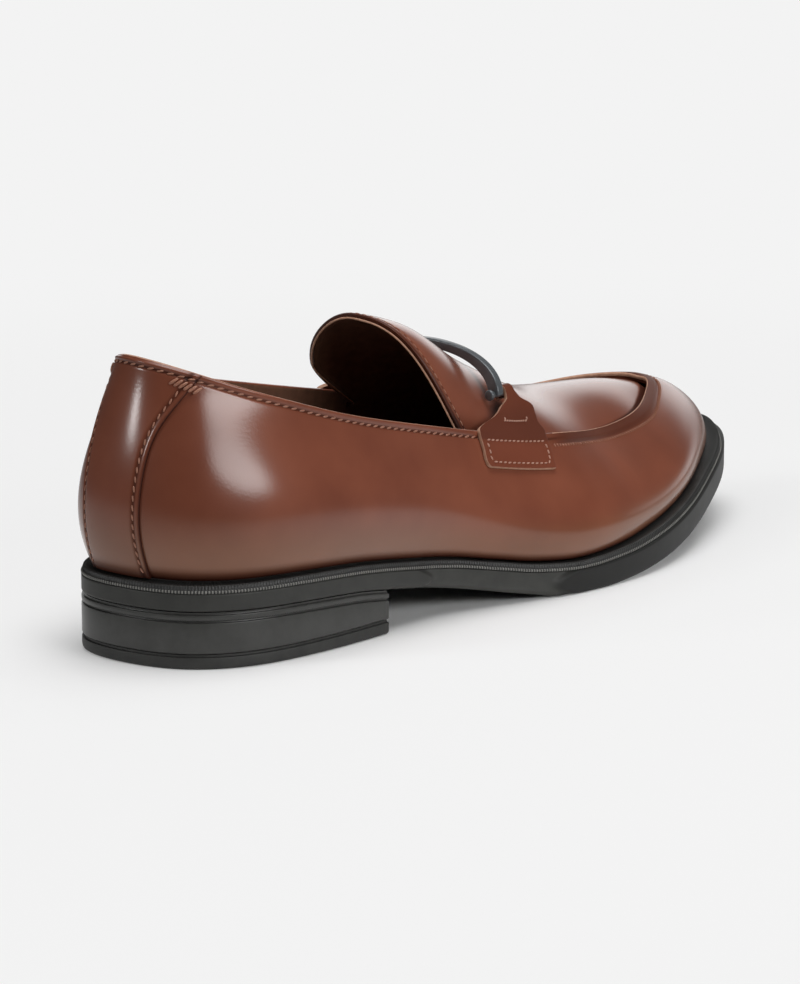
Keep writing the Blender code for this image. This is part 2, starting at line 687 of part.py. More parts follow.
def build_heel():
    """The stacked heel block with its grooves, and the wearing layer under it."""
    reach = float(ring_at(HEEL_BREAST))
    lateral = np.linspace(0, reach, HEEL_POINTS)
    ring = np.concatenate([lateral, 2 - lateral[:0:-1]])

    def roof(x):
        return tread(x) - CLEARANCE

    def lift(drop):
        return lambda x: roof(x) - drop

    def level(z):
        return lambda x: np.full_like(x, z)

    block_foot = TOP_PIECE + CLEARANCE
    loft("heel_block", [
        loop_at(ring, 0.0, level(block_foot)),
        loop_at(ring, 0.0, lift(HEEL_LIFT + GROOVE_HIGH)),
        loop_at(ring, GROOVE_DEEP, lift(HEEL_LIFT + GROOVE_HIGH)),
        loop_at(ring, GROOVE_DEEP, lift(HEEL_LIFT)),
        loop_at(ring, 0.0, lift(HEEL_LIFT)),
        loop_at(ring, 0.0, lift(GROOVE_HIGH)),
        loop_at(ring, GROOVE_DEEP, lift(GROOVE_HIGH)),
        loop_at(ring, GROOVE_DEEP, roof),
    ])
    loft("heel_top_piece", [
        loop_at(ring, EDGE_ROUND, level(0.0)),
        loop_at(ring, EDGE_ROUND * ROUND_SHARE, level(EDGE_ROUND * ROUND_SHARE)),
        loop_at(ring, 0.0, level(EDGE_ROUND)),
        loop_at(ring, 0.0, level(TOP_PIECE - GROOVE_HIGH)),
        loop_at(ring, GROOVE_DEEP, level(TOP_PIECE - GROOVE_HIGH)),
        loop_at(ring, GROOVE_DEEP, level(TOP_PIECE)),
    ])


def cross_axis(side, station):
    """Point on a cross pin's axis at a station."""
    return np.array([station, *(CROSS_LATERAL if side == "lateral" else CROSS_MEDIAL)])


def build_tab(side):
    """A bottle-shaped tab: sewn on the wall, up over the top edge and folded round a cross pin."""
    sign = -1 if side == "lateral" else 1
    fine = np.linspace(*INSTEP_RING, FINE_POINTS)
    place = fine if side == "lateral" else 2 - fine
    station = top_edge(place)[:, 0]
    ups = np.concatenate([np.linspace(0, 3, 3 * TAB_STEPS + 1), [4]])
    middle = heights([(r[0], r[1], r[2]) for r in TAB_OUTLINE])(ups)
    half = heights([(r[0], r[1], r[3]) for r in TAB_OUTLINE])(ups)
    centre = CLEARANCE + TAB_WALL / 2
    turn = CROSS_RADIUS + centre
    grid = np.zeros((len(ups), TAB_COLUMNS + 1, 3))
    for r, up in enumerate(ups):
        for c in range(TAB_COLUMNS + 1):
            x = middle[r] + half[r] * (2 * c / TAB_COLUMNS - 1)
            ring = np.interp(x, station, place)
            rise = TAB_FOOT_RISE + (1 - TAB_FOOT_RISE) * min(up, 1)
            shoulder = skin(np.array([ring]), rise, centre)[0]
            shoulder[0] = x
            if up <= 1:
                grid[r, c] = shoulder
                continue
            axis = cross_axis(side, x)
            lean = unit(axis[1:] - shoulder[1:])
            out = np.array([lean[1], -lean[0]]) * (1 if sign > 0 else -1)
            outer_end = axis[1:] + out * turn
            if up <= 2:
                point = shoulder[1:] + (outer_end - shoulder[1:]) * (up - 1)
            else:
                angle = math.pi * min(up - 2, 1)
                point = axis[1:] + (out * math.cos(angle) + lean * math.sin(angle)) * turn
                point = point - lean * TAB_LEG * max(up - 3, 0)
            grid[r, c] = (x, point[0], point[1])
    normal = grid_normals(grid)
    if normal[0, 0, 1] * sign < 0:
        normal = -normal
    outer = grid + normal * TAB_WALL / 2
    inner = grid - normal * TAB_WALL / 2
    slab("tab_" + side, outer, inner)


def bit_arch():
    """Middle line of the arched bar from one cross pin to the other, with its upward direction."""
    lateral = cross_axis("lateral", BIT_STATION)
    medial = cross_axis("medial", BIT_STATION)
    angle = np.linspace(0, math.pi, BIT_STEPS + 1)
    across = np.cos(angle)
    x = BIT_STATION - BIT_LEAN * np.abs(across) ** BIT_LEAN_POWER
    y = (lateral[1] + medial[1]) / 2 - (medial[1] - lateral[1]) / 2 * across
    foot = lateral[2] + (medial[2] - lateral[2]) * (1 - across) / 2
    crown = BIT_CREST - BIT_THICK / 2 - (lateral[2] + medial[2]) / 2
    z = foot + crown * np.sin(angle) ** BIT_ROUND
    path = np.column_stack([x, y, z])
    along = unit(np.gradient(path, axis=0))
    up = unit(np.cross(np.array([1.0, 0, 0]), along))
    thick = BIT_THICK + (BIT_SIDE_THICK - BIT_THICK) * across ** 2
    return path, up, thick


def build_bit():
    """The arched bar joined to its two cross pins."""
    path, up, thick = bit_arch()
    wide, half = BIT_WIDE / 2, thick / 2
    flat, side = wide - BIT_CHAMFER, half - BIT_CHAMFER
    section = (
        (-wide, -side), (-flat, -half), (flat, -half), (wide, -side),
        (wide, side), (flat, half), (-flat, half), (-wide, side),
    )
    loops = []
    for a, b in section:
        loops.append(path + np.array([1.0, 0, 0]) * a + up * b[:, None])
    rows = np.array(loops).transpose(1, 0, 2)
    bar = loft("bit", list(rows))
    for side in ("lateral", "medial"):
        cross = add_cross_pin(side)
        joint = bar.modifiers.new("cross pin " + side, "BOOLEAN")
        joint.operation = "UNION"
        joint.object = cross


def add_cross_pin(side):
    """A round pin with a disc at each end, along the shoe."""
    angle = np.arange(CROSS_SIDES) * 2 * math.pi / CROSS_SIDES
    around = np.column_stack([np.zeros(CROSS_SIDES), np.cos(angle), np.sin(angle)])
    loops = [
        cross_axis(side, station) + around * CROSS_RADIUS * share
        for station, share in CROSS_PROFILE
    ]
    cross = loft("cross_pin_" + side, loops, finish="bit")
    cross.hide_render = True
    cross.display_type = "WIRE"
    return cross


def main():
    for old in list(bpy.data.objects):
        bpy.data.objects.remove(old, do_unlink=True)
    build_upper()
    build_tongue()
    build_backstay()
    build_sole()
    build_heel()
    build_tab("lateral")
    build_tab("medial")
    build_bit()


main()
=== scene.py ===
import math

import bpy
import numpy as np
from mathutils import Matrix


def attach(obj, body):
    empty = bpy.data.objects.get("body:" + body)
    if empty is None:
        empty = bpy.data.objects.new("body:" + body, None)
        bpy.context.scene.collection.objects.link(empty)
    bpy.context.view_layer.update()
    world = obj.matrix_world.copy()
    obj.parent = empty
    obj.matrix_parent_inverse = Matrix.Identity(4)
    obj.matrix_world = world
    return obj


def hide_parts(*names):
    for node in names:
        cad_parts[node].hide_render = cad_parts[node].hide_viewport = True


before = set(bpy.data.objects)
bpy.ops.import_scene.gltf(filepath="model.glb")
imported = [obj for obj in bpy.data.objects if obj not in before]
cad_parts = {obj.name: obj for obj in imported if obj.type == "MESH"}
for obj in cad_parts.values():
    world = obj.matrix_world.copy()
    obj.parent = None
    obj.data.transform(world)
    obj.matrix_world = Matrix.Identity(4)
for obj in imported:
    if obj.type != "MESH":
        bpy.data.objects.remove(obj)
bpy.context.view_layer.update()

# Right horsebit loafer: polished reddish-brown calf on a moulded black rubber sole.
# Tables and functions are in millimetres: stations run from the heel back to the toe, y is
# positive on the medial side and negative on the lateral side, z is up.
MM = 0.001
ORIGIN = (147.207, -2.056, 0.0)
LENGTH = 296.5
RING_STEP = 0.004
PLAN_POINTS = 24000

# Sole edge from above, station and y, once round from the heel back by the lateral side
PLAN = (
    (0.0, 3.0), (5.8, -19.0), (19.0, -29.8), (37.0, -34.8), (76.0, -36.8), (108.0, -38.6),
    (146.0, -48.8), (175.0, -52.0), (216.0, -46.0), (250.0, -32.8), (281.5, -15.5),
    (296.5, 4.0), (287.0, 22.0), (262.0, 36.8), (214.0, 47.5), (180.0, 43.5),
    (120.0, 31.0), (76.0, 34.0), (37.0, 35.6), (17.5, 31.6), (4.4, 22.0),
)
# Top and underside of the sole, and how far the upper's foot lies in from its edge, by station
SEAT = (
    (0.0, 25.6), (30.0, 25.2), (60.0, 23.8), (92.0, 20.0), (108.0, 17.7), (124.0, 14.6),
    (140.0, 11.8), (158.0, 10.4), (180.0, 11.4), (200.0, 13.6), (230.0, 18.2),
    (260.0, 23.8), (296.5, 29.6),
)
TREAD = (
    (0.0, 17.6), (30.0, 17.2), (60.0, 15.8), (76.5, 13.8), (103.0, 9.3), (125.0, 4.6),
    (138.0, 1.9), (149.0, 0.0), (166.0, 0.0), (182.0, 0.9), (200.0, 2.7), (230.0, 7.0),
    (260.0, 12.4), (296.5, 19.2),
)
MARGIN = (
    (0.0, 3.4), (76.0, 2.4), (112.0, 2.2), (160.0, 2.6), (200.0, 4.4), (250.0, 4.8),
    (275.0, 5.3), (296.5, 6.7),
)
# Ribs of the upper: sole-edge station, top-edge station, then y and z of the top edge on the
# lateral and the medial side, the swell of the wall on each, and its crown over the toes
RIBS = (
    (0.0, 8.5, 2.0, 90.6, 2.0, 90.6, 6.8, 6.8, 0.0),
    (7.0, 14.5, -13.0, 87.2, 15.4, 89.2, 6.8, 6.8, 0.0),
    (22.0, 27.0, -22.0, 81.8, 23.0, 84.6, 6.4, 6.4, 0.0),
    (44.0, 45.5, -28.0, 75.2, 28.0, 78.4, 5.8, 5.8, 0.0),
    (68.0, 68.0, -30.8, 68.2, 29.8, 72.6, 5.4, 5.6, 0.0),
    (96.0, 96.5, -31.5, 61.2, 31.0, 66.2, 5.6, 6.2, 0.0),
    (124.0, 124.0, -31.5, 55.0, 32.0, 60.4, 6.0, 6.6, 0.0),
    (150.0, 149.0, -31.5, 50.0, 32.5, 55.4, 6.6, 7.0, 0.0),
    (176.0, 171.0, -30.3, 46.7, 31.6, 50.8, 7.0, 7.0, 0.1),
    (205.0, 197.0, -25.2, 43.2, 29.0, 47.6, 7.0, 7.6, 0.7),
    (234.0, 222.0, -20.0, 43.2, 26.0, 46.4, 7.0, 8.2, 1.6),
    (261.0, 242.2, -10.8, 44.4, 20.8, 46.9, 5.0, 6.4, 3.0),
    (283.0, 256.0, -2.2, 46.2, 12.8, 47.4, 4.0, 5.0, 2.8),
    (296.5, 260.2, 5.0, 46.6, 5.0, 46.6, 4.6, 4.6, 3.8),
)
# Height of the instep's middle line by station
CREST = (
    (109.0, 89.6), (123.5, 85.6), (147.5, 72.4), (164.0, 64.4), (184.0, 56.4), (204.0, 52.4),
    (224.0, 50.6), (244.0, 48.6), (261.0, 45.6),
)
CLEARANCE = 0.3
# Powers by which the wall's swell and its crown over the toes grow and die off up the wall
SWELL_UP = 1.0
SWELL_DOWN = 1.67
CROWN_UP = 1.5
CROWN_DOWN = 0.8

# Leather, with the size of its clouds of dye and of its grain
CLOUD_MM = 26.0
GRAIN_MM = 0.8
UPPER_WALL = 2.0
RIDGE_RAISE = 0.65
RIDGE_BAND = 3.6
RIDGE_FROM = 158.0
RIDGE_FULL = 172.0
RIDGE_GROOVE = 0.14
COLLAR_SEAM = 2.3
COLLAR_GROOVE = 0.32
COLLAR_ROLL = 0.2
EDGE_ROUND = 0.55
# Rise over which the dark line along the foot fades, painted shade where the wall turns under
# with some burnish, and then the tan, partly a painted tint of the floor's warm reflection
FOOT_LINE = (0.015, 0.085)
FOOT_TAN = (0.1, 0.4)
THROAT = 156.0
FLAT_DOME = 2.1
FULL_DOME_LATERAL = 2.9
FULL_DOME_MEDIAL = 2.6
DOME_FLAT_AT = 144.0
DOME_FULL_AT = 112.0
TONGUE_END = 108.2
# How far forward the tongue's end lies at its sides, and the power of that curve
TONGUE_SWEEP_LATERAL = (15.6, 2.2)
TONGUE_SWEEP_MEDIAL = (30.0, 6.6)
TONGUE_BULGE = 8.4
BULGE_SHARE = (0.15, 0.5)
TONGUE_THICK = 1.6
TONGUE_SEAM = 2.4
TONGUE_GROOVE = 0.25
LINING_EDGE = 0.34
# Soft troughs worn into the wall: station, lean over the height, reach, depth, lowest and
# highest rise; across the joint, then the slack of the quarter
CREASES = (
    (176.0, 18.0, 5.0, 0.16, 0.35, 0.85),
    (190.0, 14.0, 4.2, 0.12, 0.4, 0.85),
    (160.0, 16.0, 5.5, 0.12, 0.3, 0.8),
    (104.0, -26.0, 9.0, 0.2, 0.35, 0.95),
    (62.0, -14.0, 8.0, 0.14, 0.4, 0.9),
)
# Backstay: rise, then its reach to the lateral and the medial side
BACKSTAY = (
    (0.0, 10.7, 17.6), (0.25, 9.6, 16.6), (0.5, 9.5, 16.8), (0.7, 11.1, 18.0),
    (0.86, 15.0, 20.5), (0.975, 17.4, 23.5),
)
BACKSTAY_PROUD = 0.9
BACKSTAY_SEAM = 2.2
HEM_WIDTH = 3.6
# The strip's turned hem: distance in from its edge, lift off the wall, and darkening: burnish,
# with a painted shadow line at the edge and painted shade in the stitch groove
BACKSTAY_HEM = (
    (0.0, -0.3, 1.0), (0.0, 0.4, 1.0), (0.12, 0.7, 0.9), (0.35, 0.86, 0.5), (0.8, 0.92, 0.15),
    (1.4, 0.86, 0.25), (1.8, 0.68, 0.6), (2.2, 0.6, 0.75), (2.6, 0.72, 0.55), (3.0, 0.88, 0.3),
)

# Sole
WELT_THICK = 2.6
WELT_WIDTH = 11.0
RIB_PITCH = 1.0
RIB_DEEP = 0.3
WELT_STEP = 1.4
WELT_STEP_FROM = 270.0
HEEL_BREAST = 76.5
HEEL_LIFT = 2.3
TOP_PIECE = 4.5
GROOVE_DEEP = 0.8
GROOVE_HIGH = 0.7
WAIST_RECESS = 1.3
# Ends of the rear band and the forefoot tier: station, rounding and ease of the step
BAND_END, BAND_ROUND, BAND_EASE = 99.5, 7.0, 3.8
TIER_START, TIER_ROUND, TIER_EASE = 143.0, 9.0, 4.6
TIER_PROUD = 0.8
TIER_SWELL = 60.0
SOLE_GAP = 0.04
INSOLE_THICK = 3.0
INSOLE_INSET = 4.2

# Bit and tabs
BIT_STATION = 149.5
BIT_LEAN = 3.4
BIT_WIDE = 3.0
BIT_THICK = 3.0
BIT_SIDE_THICK = 4.3
BIT_CREST = 75.8
PIN_RADIUS = 1.1
# Station and radius along a cross pin with its two discs
PIN_PROFILE = (
    (142.25, 0.05), (142.3, 1.2), (142.5, 1.55), (142.8, 1.72), (143.3, 1.72), (143.6, 1.55),
    (143.75, 1.1), (152.4, 1.1), (152.5, 1.5), (152.8, 1.66), (153.4, 1.66), (153.7, 1.5),
    (153.85, 1.15), (153.9, 0.05),
)
# y and z of the cross pins
CROSS_LATERAL = (-23.4, 61.9)
CROSS_MEDIAL = (24.2, 66.6)
SIDES = (("lateral", -1), ("medial", 1))
TAB_WALL = 1.2
# Place up the tab, station of its middle, half its width
TAB_OUTLINE = (
    (0.0, 140.3, 14.9), (0.06, 140.2, 15.6), (0.5, 142.0, 16.5), (1.0, 143.1, 16.9),
    (1.2, 144.4, 13.9), (1.4, 148.0, 10.3), (1.6, 150.2, 7.8), (1.8, 150.4, 3.1),
    (2.0, 150.2, 2.0), (4.0, 150.2, 2.0),
)
TAB_FOOT_RISE = 0.72
TAB_LEG = 1.2

# Stitches: pitch, length, thickness, and slant in radians
COLLAR_STITCH = (3.2, 2.2, 0.66, 0.3)
RIDGE_STITCH = (1.6, 1.15, 0.5, 1.35)
BACKSTAY_STITCH = (2.8, 1.9, 0.62, 0.25)
BAR_TACK = (1.45, 3.3, 1.0, 0.95)
TONGUE_STITCH = (2.8, 1.9, 0.5, 0.0)
TAB_STITCH = (2.1, 1.4, 0.55, 0.2)
TAB_BAR_STITCH = (1.1, 1.0, 0.55, 0.5)
# Stations where the collar's row ends and the ridge's row begins
COLLAR_ROW_END = 141.0
RIDGE_ROW_START = 162.0
# Bar tacks that lock the backstay's seams, as runs round the heel in mm
BAR_TACK_RUNS = ((11.0, 18.6), (-17.0, -24.6))
# Seams on a tab, as (up, across) corners with the number of steps along them: round its foot,
# across it, and the bar at its neck
TAB_SEAMS = (
    (((0.66, -0.87), (0.2, -0.86), (0.13, -0.8), (0.13, 0.8), (0.2, 0.86), (0.66, 0.87)), 200,
     TAB_STITCH),
    (((0.72, -0.87), (0.72, 0.87)), 60, TAB_STITCH),
    (((1.34, -0.42), (1.27, -0.36), (1.25, 0.1), (1.25, 0.52), (1.33, 0.56)), 60, TAB_BAR_STITCH),
)

# Studio, in metres. Soft boxes: azimuth, elevation, distance, width, height, watts, roll, and
# the share of the face that stays full bright
BACKDROP = "#f3f3f3"
SHADE_LONG, SHADE_WIDE = 0.15, 0.055
LAMP_AIM = (0.0, 0.0, 0.04)
SOFT_BOXES = (
    ("overhead_box", 20.0, 84.0, 1.25, 1.9, 1.7, 46.0, 0.0, 0.1),
    ("front_box", -6.0, 22.0, 1.5, 1.5, 0.6, 24.0, -16.0, 0.25),
    ("heel_box", -119.0, 21.0, 1.5, 0.36, 0.42, 14.0, 20.0, 0.1),
    ("back_box", 126.0, 11.0, 2.2, 2.8, 1.4, 17.0, 0.0, 0.2),
    ("toe_box", 84.0, 0.5, 1.5, 1.4, 0.56, 3.0, 0.0, 0.05),
)
# Camera; its lens in millimetres
CAMERA_PLACE = (-1.11128, -0.88029, 0.3361)
CAMERA_AIM = (-0.0361, -0.0111, 0.035)
CAMERA_LENS = 167.0


def spline(knots, values, closed=False):
    """Cubic spline through the rows of values; a closed one repeats its first row at the end."""
    t = np.asarray(knots, float)
    y = np.asarray(values, float).reshape(len(t), -1)
    h = np.diff(t)
    slope = np.diff(y, axis=0) / h[:, None]
    n = len(t)
    system = np.eye(n)
    right = np.zeros_like(y)
    for i in range(1, n - 1):
        system[i, i - 1:i + 2] = h[i - 1], 2 * (h[i - 1] + h[i]), h[i]
        right[i] = 6 * (slope[i] - slope[i - 1])
    if closed:
        system[0] = 0
        system[0, 0] = 2 * (h[-1] + h[0])
        system[0, 1] = h[0]
        system[0, n - 2] = h[-1]
        right[0] = 6 * (slope[0] - slope[-1])
        system[n - 1, 0] = -1
    bend = np.linalg.solve(system, right)

    def at(x):
        x = np.atleast_1d(np.asarray(x, float))
        i = np.clip(np.searchsorted(t, x, side="right") - 1, 0, n - 2)
        a = ((t[i + 1] - x) / h[i])[:, None]
        b = 1 - a
        curve = (a ** 3 - a) * bend[i] + (b ** 3 - b) * bend[i + 1]
        return a * y[i] + b * y[i + 1] + curve * (h[i] ** 2)[:, None] / 6

    return at


def heights(rows):
    """Curve through (place, value) rows that never over- or undershoots a row."""
    x = np.array([row[0] for row in rows])
    z = np.array([row[1] for row in rows])
    slope = np.diff(z) / np.diff(x)
    lean = np.zeros_like(x)
    lean[0], lean[-1] = slope[0], slope[-1]
    for i in range(1, len(x) - 1):
        if slope[i - 1] * slope[i] > 0:
            lean[i] = 2 * slope[i - 1] * slope[i] / (slope[i - 1] + slope[i])

    def at(s):
        s = np.clip(np.asarray(s, float), x[0], x[-1])
        i = np.clip(np.searchsorted(x, s, side="right") - 1, 0, len(x) - 2)
        h = x[i + 1] - x[i]
        u = (s - x[i]) / h
        start = z[i] * (1 + 2 * u) * (1 - u) ** 2 + lean[i] * h * u * (1 - u) ** 2
        return start + z[i + 1] * u * u * (3 - 2 * u) + lean[i + 1] * h * u * u * (u - 1)

    return at


def ramp(x, start, end):
    """Smooth step from 0 at start to 1 at end."""
    u = np.clip((np.asarray(x, float) - start) / (end - start), 0, 1)
    return u * u * (3 - 2 * u)


def bump(x, centre, reach):
    """Soft ridge of height 1 about a centre."""
    return np.exp(-((np.asarray(x, float) - centre) / reach) ** 2)


def unit(vectors):
    return vectors / np.maximum(np.linalg.norm(vectors, axis=-1, keepdims=True), 1e-9)


seat = heights(SEAT)
tread = heights(TREAD)
margin = heights(MARGIN)
crest = spline([row[0] for row in CREST], [row[1] for row in CREST])


def trace_plan():
    """The sole edge as two runs of points, heel to toe, lateral first."""
    points = np.array(PLAN + (PLAN[0],))
    run = np.concatenate([[0], np.cumsum(np.linalg.norm(np.diff(points, axis=0), axis=1))])
    curve = spline(run, points, closed=True)(np.linspace(0, run[-1], PLAN_POINTS))
    tip = int(np.argmax(curve[:, 0]))
    back = int(np.argmin(curve[:, 0]))
    turned = np.roll(curve[:-1], -back, axis=0)
    tip = (tip - back) % len(turned)
    return turned[:tip + 1], np.concatenate([turned[tip:], turned[:1]])[::-1]


LATERAL_EDGE, MEDIAL_EDGE = trace_plan()


def ring_at(station):
    """Place on the ring, 0 at the heel back to 1 at the toe, of a sole-edge station."""
    return np.arccos(np.clip(1 - 2 * np.asarray(station, float) / LENGTH, -1, 1)) / math.pi


def edge(ring):
    """Sole edge at ring places: 0 to 1 lateral, 1 to 2 back along the medial side."""
    ring = np.mod(np.asarray(ring, float), 2)
    low, high = LATERAL_EDGE[0, 0], LATERAL_EDGE[-1, 0]
    x = low + (high - low) * (1 - np.cos(math.pi * ring)) / 2
    lateral = np.interp(x, LATERAL_EDGE[:, 0], LATERAL_EDGE[:, 1])
    medial = np.interp(x, MEDIAL_EDGE[:, 0], MEDIAL_EDGE[:, 1])
    return np.stack([x, np.where(ring <= 1, lateral, medial)], -1)


def outward(ring):
    """Level direction out of the sole edge."""
    along = edge(ring + RING_STEP) - edge(ring - RING_STEP)
    return unit(np.stack([along[..., 1], -along[..., 0]], -1))


def inset(ring, depth):
    """Sole edge moved in by depth, which may differ from point to point."""
    return edge(ring) - outward(ring) * np.broadcast_to(depth, np.shape(ring))[..., None]


def rib_table():
    """Top edge and swell of the upper as one closed curve over the ring."""
    lateral = [(ring_at(r[0]), r[1], r[2], r[3], r[6], r[8]) for r in RIBS]
    medial = [(2 - ring_at(r[0]), r[1], r[4], r[5], r[7], r[8]) for r in reversed(RIBS[1:-1])]
    rows = np.array(lateral + medial + [(2.0,) + lateral[0][1:]], float)
    return spline(rows[:, 0], rows[:, 1:], closed=True)


ribs = rib_table()
SWELL_TOP = SWELL_UP / (SWELL_UP + SWELL_DOWN)
SWELL_FULL = SWELL_TOP ** SWELL_UP * (1 - SWELL_TOP) ** SWELL_DOWN
CROWN_TOP = CROWN_UP / (CROWN_UP + CROWN_DOWN)
CROWN_FULL = CROWN_TOP ** CROWN_UP * (1 - CROWN_TOP) ** CROWN_DOWN


def top_edge(ring):
    return ribs(np.mod(ring, 2))[:, :3]


def wall(ring, rise):
    """Outer face of the upper's wall: rise 0 at the sole, 1 at the top edge."""
    ring = np.mod(np.atleast_1d(np.asarray(ring, float)), 2)
    rise = np.broadcast_to(np.asarray(rise, float), ring.shape)
    foot = inset(ring, margin(edge(ring)[:, 0]))
    foot = np.column_stack([foot, seat(foot[:, 0]) + CLEARANCE])
    rib = ribs(ring)
    up = np.clip(rise, 0, 1)
    swell = rib[:, 3] * up ** SWELL_UP * (1 - up) ** SWELL_DOWN / SWELL_FULL
    point = foot + (rib[:, :3] - foot) * rise[:, None]
    point[:, :2] += outward(ring) * swell[:, None]
    point[:, 2] += rib[:, 4] * up ** CROWN_UP * (1 - up) ** CROWN_DOWN / CROWN_FULL
    return point


def wall_normal(ring, rise):
    ring = np.atleast_1d(np.asarray(ring, float))
    rise = np.broadcast_to(np.asarray(rise, float), ring.shape)
    round_it = wall(ring + RING_STEP, rise) - wall(ring - RING_STEP, rise)
    up_it = wall(ring, np.minimum(rise + RING_STEP, 1)) - wall(ring, np.maximum(rise - RING_STEP, 0))
    return unit(np.cross(round_it, up_it))


def skin(ring, rise, lift):
    """The wall's face moved along its normal by lift."""
    lift = np.broadcast_to(np.asarray(lift, float), np.shape(np.atleast_1d(ring)))
    return wall(ring, rise) + wall_normal(ring, rise) * lift[:, None]


def top_pace(ring):
    """Millimetres of wall per unit of rise, just under the top edge."""
    return np.linalg.norm(wall(ring, 1.0) - wall(ring, 0.96), axis=1) / 0.04


def placed(points):
    """Millimetres from the heel back to metres about the origin."""
    return (np.asarray(points, float) - ORIGIN) * MM


# Modelling helpers


def select_only(piece):
    bpy.ops.object.select_all(action="DESELECT")
    piece.select_set(True)
    bpy.context.view_layer.objects.active = piece


def new_sheet(name, points):
    """A primitive grid with its points moved onto rows and columns of places, in mm."""
    rows, columns = points.shape[:2]
    bpy.ops.object.select_all(action="DESELECT")
    bpy.ops.mesh.primitive_grid_add(x_subdivisions=columns - 1, y_subdivisions=rows - 1, size=1)
    piece = bpy.context.object
    piece.name = piece.data.name = name
    piece.data.vertices.foreach_set("co", placed(points).astype(np.float32).ravel())
    piece.data.update()
    return piece


def note(piece, name, values):
    """A number at each point, for the material to read."""
    layer = piece.data.attributes.new(name, "FLOAT", "POINT")
    layer.data.foreach_set("value", np.asarray(values, np.float32).ravel())


def close_up(piece, cap=False, recalculate=True):
    """Merges the seam and the poles, fills open ends and turns the faces outwards."""
    select_only(piece)
    bpy.ops.object.mode_set(mode="EDIT")
    bpy.ops.mesh.select_all(action="SELECT")
    bpy.ops.mesh.remove_doubles(threshold=1e-6)
    if cap:
        bpy.ops.mesh.select_all(action="DESELECT")
        bpy.ops.mesh.select_mode(type="EDGE")
        bpy.ops.mesh.select_non_manifold()
        bpy.ops.mesh.edge_face_add()
        bpy.ops.mesh.select_mode(type="VERT")
        bpy.ops.mesh.select_all(action="SELECT")
    if recalculate:
        bpy.ops.mesh.normals_make_consistent(inside=False)
    bpy.ops.object.mode_set(mode="OBJECT")


def apply_modifier(piece, kind, **settings):
    select_only(piece)
    modifier = piece.modifiers.new(kind.lower(), kind)
    for key, value in settings.items():
        setattr(modifier, key, value)
    bpy.ops.object.modifier_apply(modifier=modifier.name)


def finish(piece, materials, replaces=(), sharp=math.radians(50)):
    """Materials, smooth shading, and the place of a piece in the frame."""
    for material in materials:
        piece.data.materials.append(material)
    select_only(piece)
    bpy.ops.object.shade_smooth_by_angle(angle=sharp)
    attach(piece, "root")
    for name in replaces:
        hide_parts(name)


def cord(name, path, radius, material):
    """A thin round cord along a path that lies across the shoe."""
    side = unit(np.cross(np.gradient(path, axis=0), (1.0, 0.0, 0.0)))[:, None]
    turn = np.linspace(0, 2 * math.pi, 9)[None, :, None]
    grid = path[:, None] + radius * (side * np.cos(turn) + np.array([1.0, 0, 0]) * np.sin(turn))
    piece = new_sheet(name, grid)
    close_up(piece, cap=True)
    finish(piece, (material,))


# Materials


def linear(hex_colour):
    """sRGB hex to linear."""
    parts = [int(hex_colour[i:i + 2], 16) / 255 for i in (1, 3, 5)]
    return tuple(c / 12.92 if c <= 0.04045 else ((c + 0.055) / 1.055) ** 2.4 for c in parts) + (1.0,)


def node(tree, kind, values=None, links=None, **settings):
    """Adds a node with its settings, its sockets' values and what feeds them."""
    new = tree.nodes.new(kind)
    for key, value in settings.items():
        setattr(new, key, value)
    for key, value in (values or {}).items():
        new.inputs[key].default_value = value
    for key, source in (links or {}).items():
        tree.links.new(source, new.inputs[key])
    return new


def new_material(name, values):
    """A material with one principled shader, and its tree."""
    material = bpy.data.materials.new(name)
    material.use_nodes = True
    shader = material.node_tree.nodes["Principled BSDF"]
    for key, value in values.items():
        shader.inputs[key].default_value = value
    return material, material.node_tree, shader


def spotted(tree, spot_mm, detail, rough, stops, tones):
    """Spots of about a size through a piece, and two tones spread over them."""
    place = node(tree, "ShaderNodeTexCoord")
    spots = node(tree, "ShaderNodeTexNoise",
                 {"Scale": 1 / (spot_mm * MM), "Detail": detail, "Roughness": rough},
                 {"Vector": place.outputs["Object"]})
    colour = node(tree, "ShaderNodeValToRGB", links={"Fac": spots.outputs["Fac"]})
    for mark, stop, tone in zip(colour.color_ramp.elements, stops, tones):
        mark.position = stop
        mark.color = linear(tone)
    return spots.outputs["Fac"], colour.outputs["Color"]


def tinted(tree, colour, attribute, tone):
    """Lays a tone over a colour as far as the piece's own numbers say."""
    share = node(tree, "ShaderNodeAttribute", attribute_name=attribute)
    mix = node(tree, "ShaderNodeMix", data_type="RGBA")
    tree.links.new(share.outputs["Fac"], mix.inputs["Factor"])
    tree.links.new(colour, mix.inputs[6])
    mix.inputs[7].default_value = linear(tone)
    return mix.outputs[2]


def skinned(tree, shader, spots, roughness, relief_mm, detail, strength, deep_mm, layers=("Normal",)):
    """A skin whose shine follows the spots, with a fine relief on each layer that shines."""
    gloss = node(tree, "ShaderNodeMapRange", {"To Min": roughness[0], "To Max": roughness[1]},
                 {"Value": spots})
    tree.links.new(gloss.outputs["Result"], shader.inputs["Roughness"])
    place = node(tree, "ShaderNodeTexCoord")
    fine = node(tree, "ShaderNodeTexNoise", {"Scale": 1 / (relief_mm * MM), "Detail": detail},
                {"Vector": place.outputs["Object"]})
    relief = node(tree, "ShaderNodeBump", {"Strength": strength, "Distance": deep_mm * MM},
                  {"Height": fine.outputs["Fac"]})
    for layer in layers:
        tree.links.new(relief.outputs["Normal"], shader.inputs[layer])


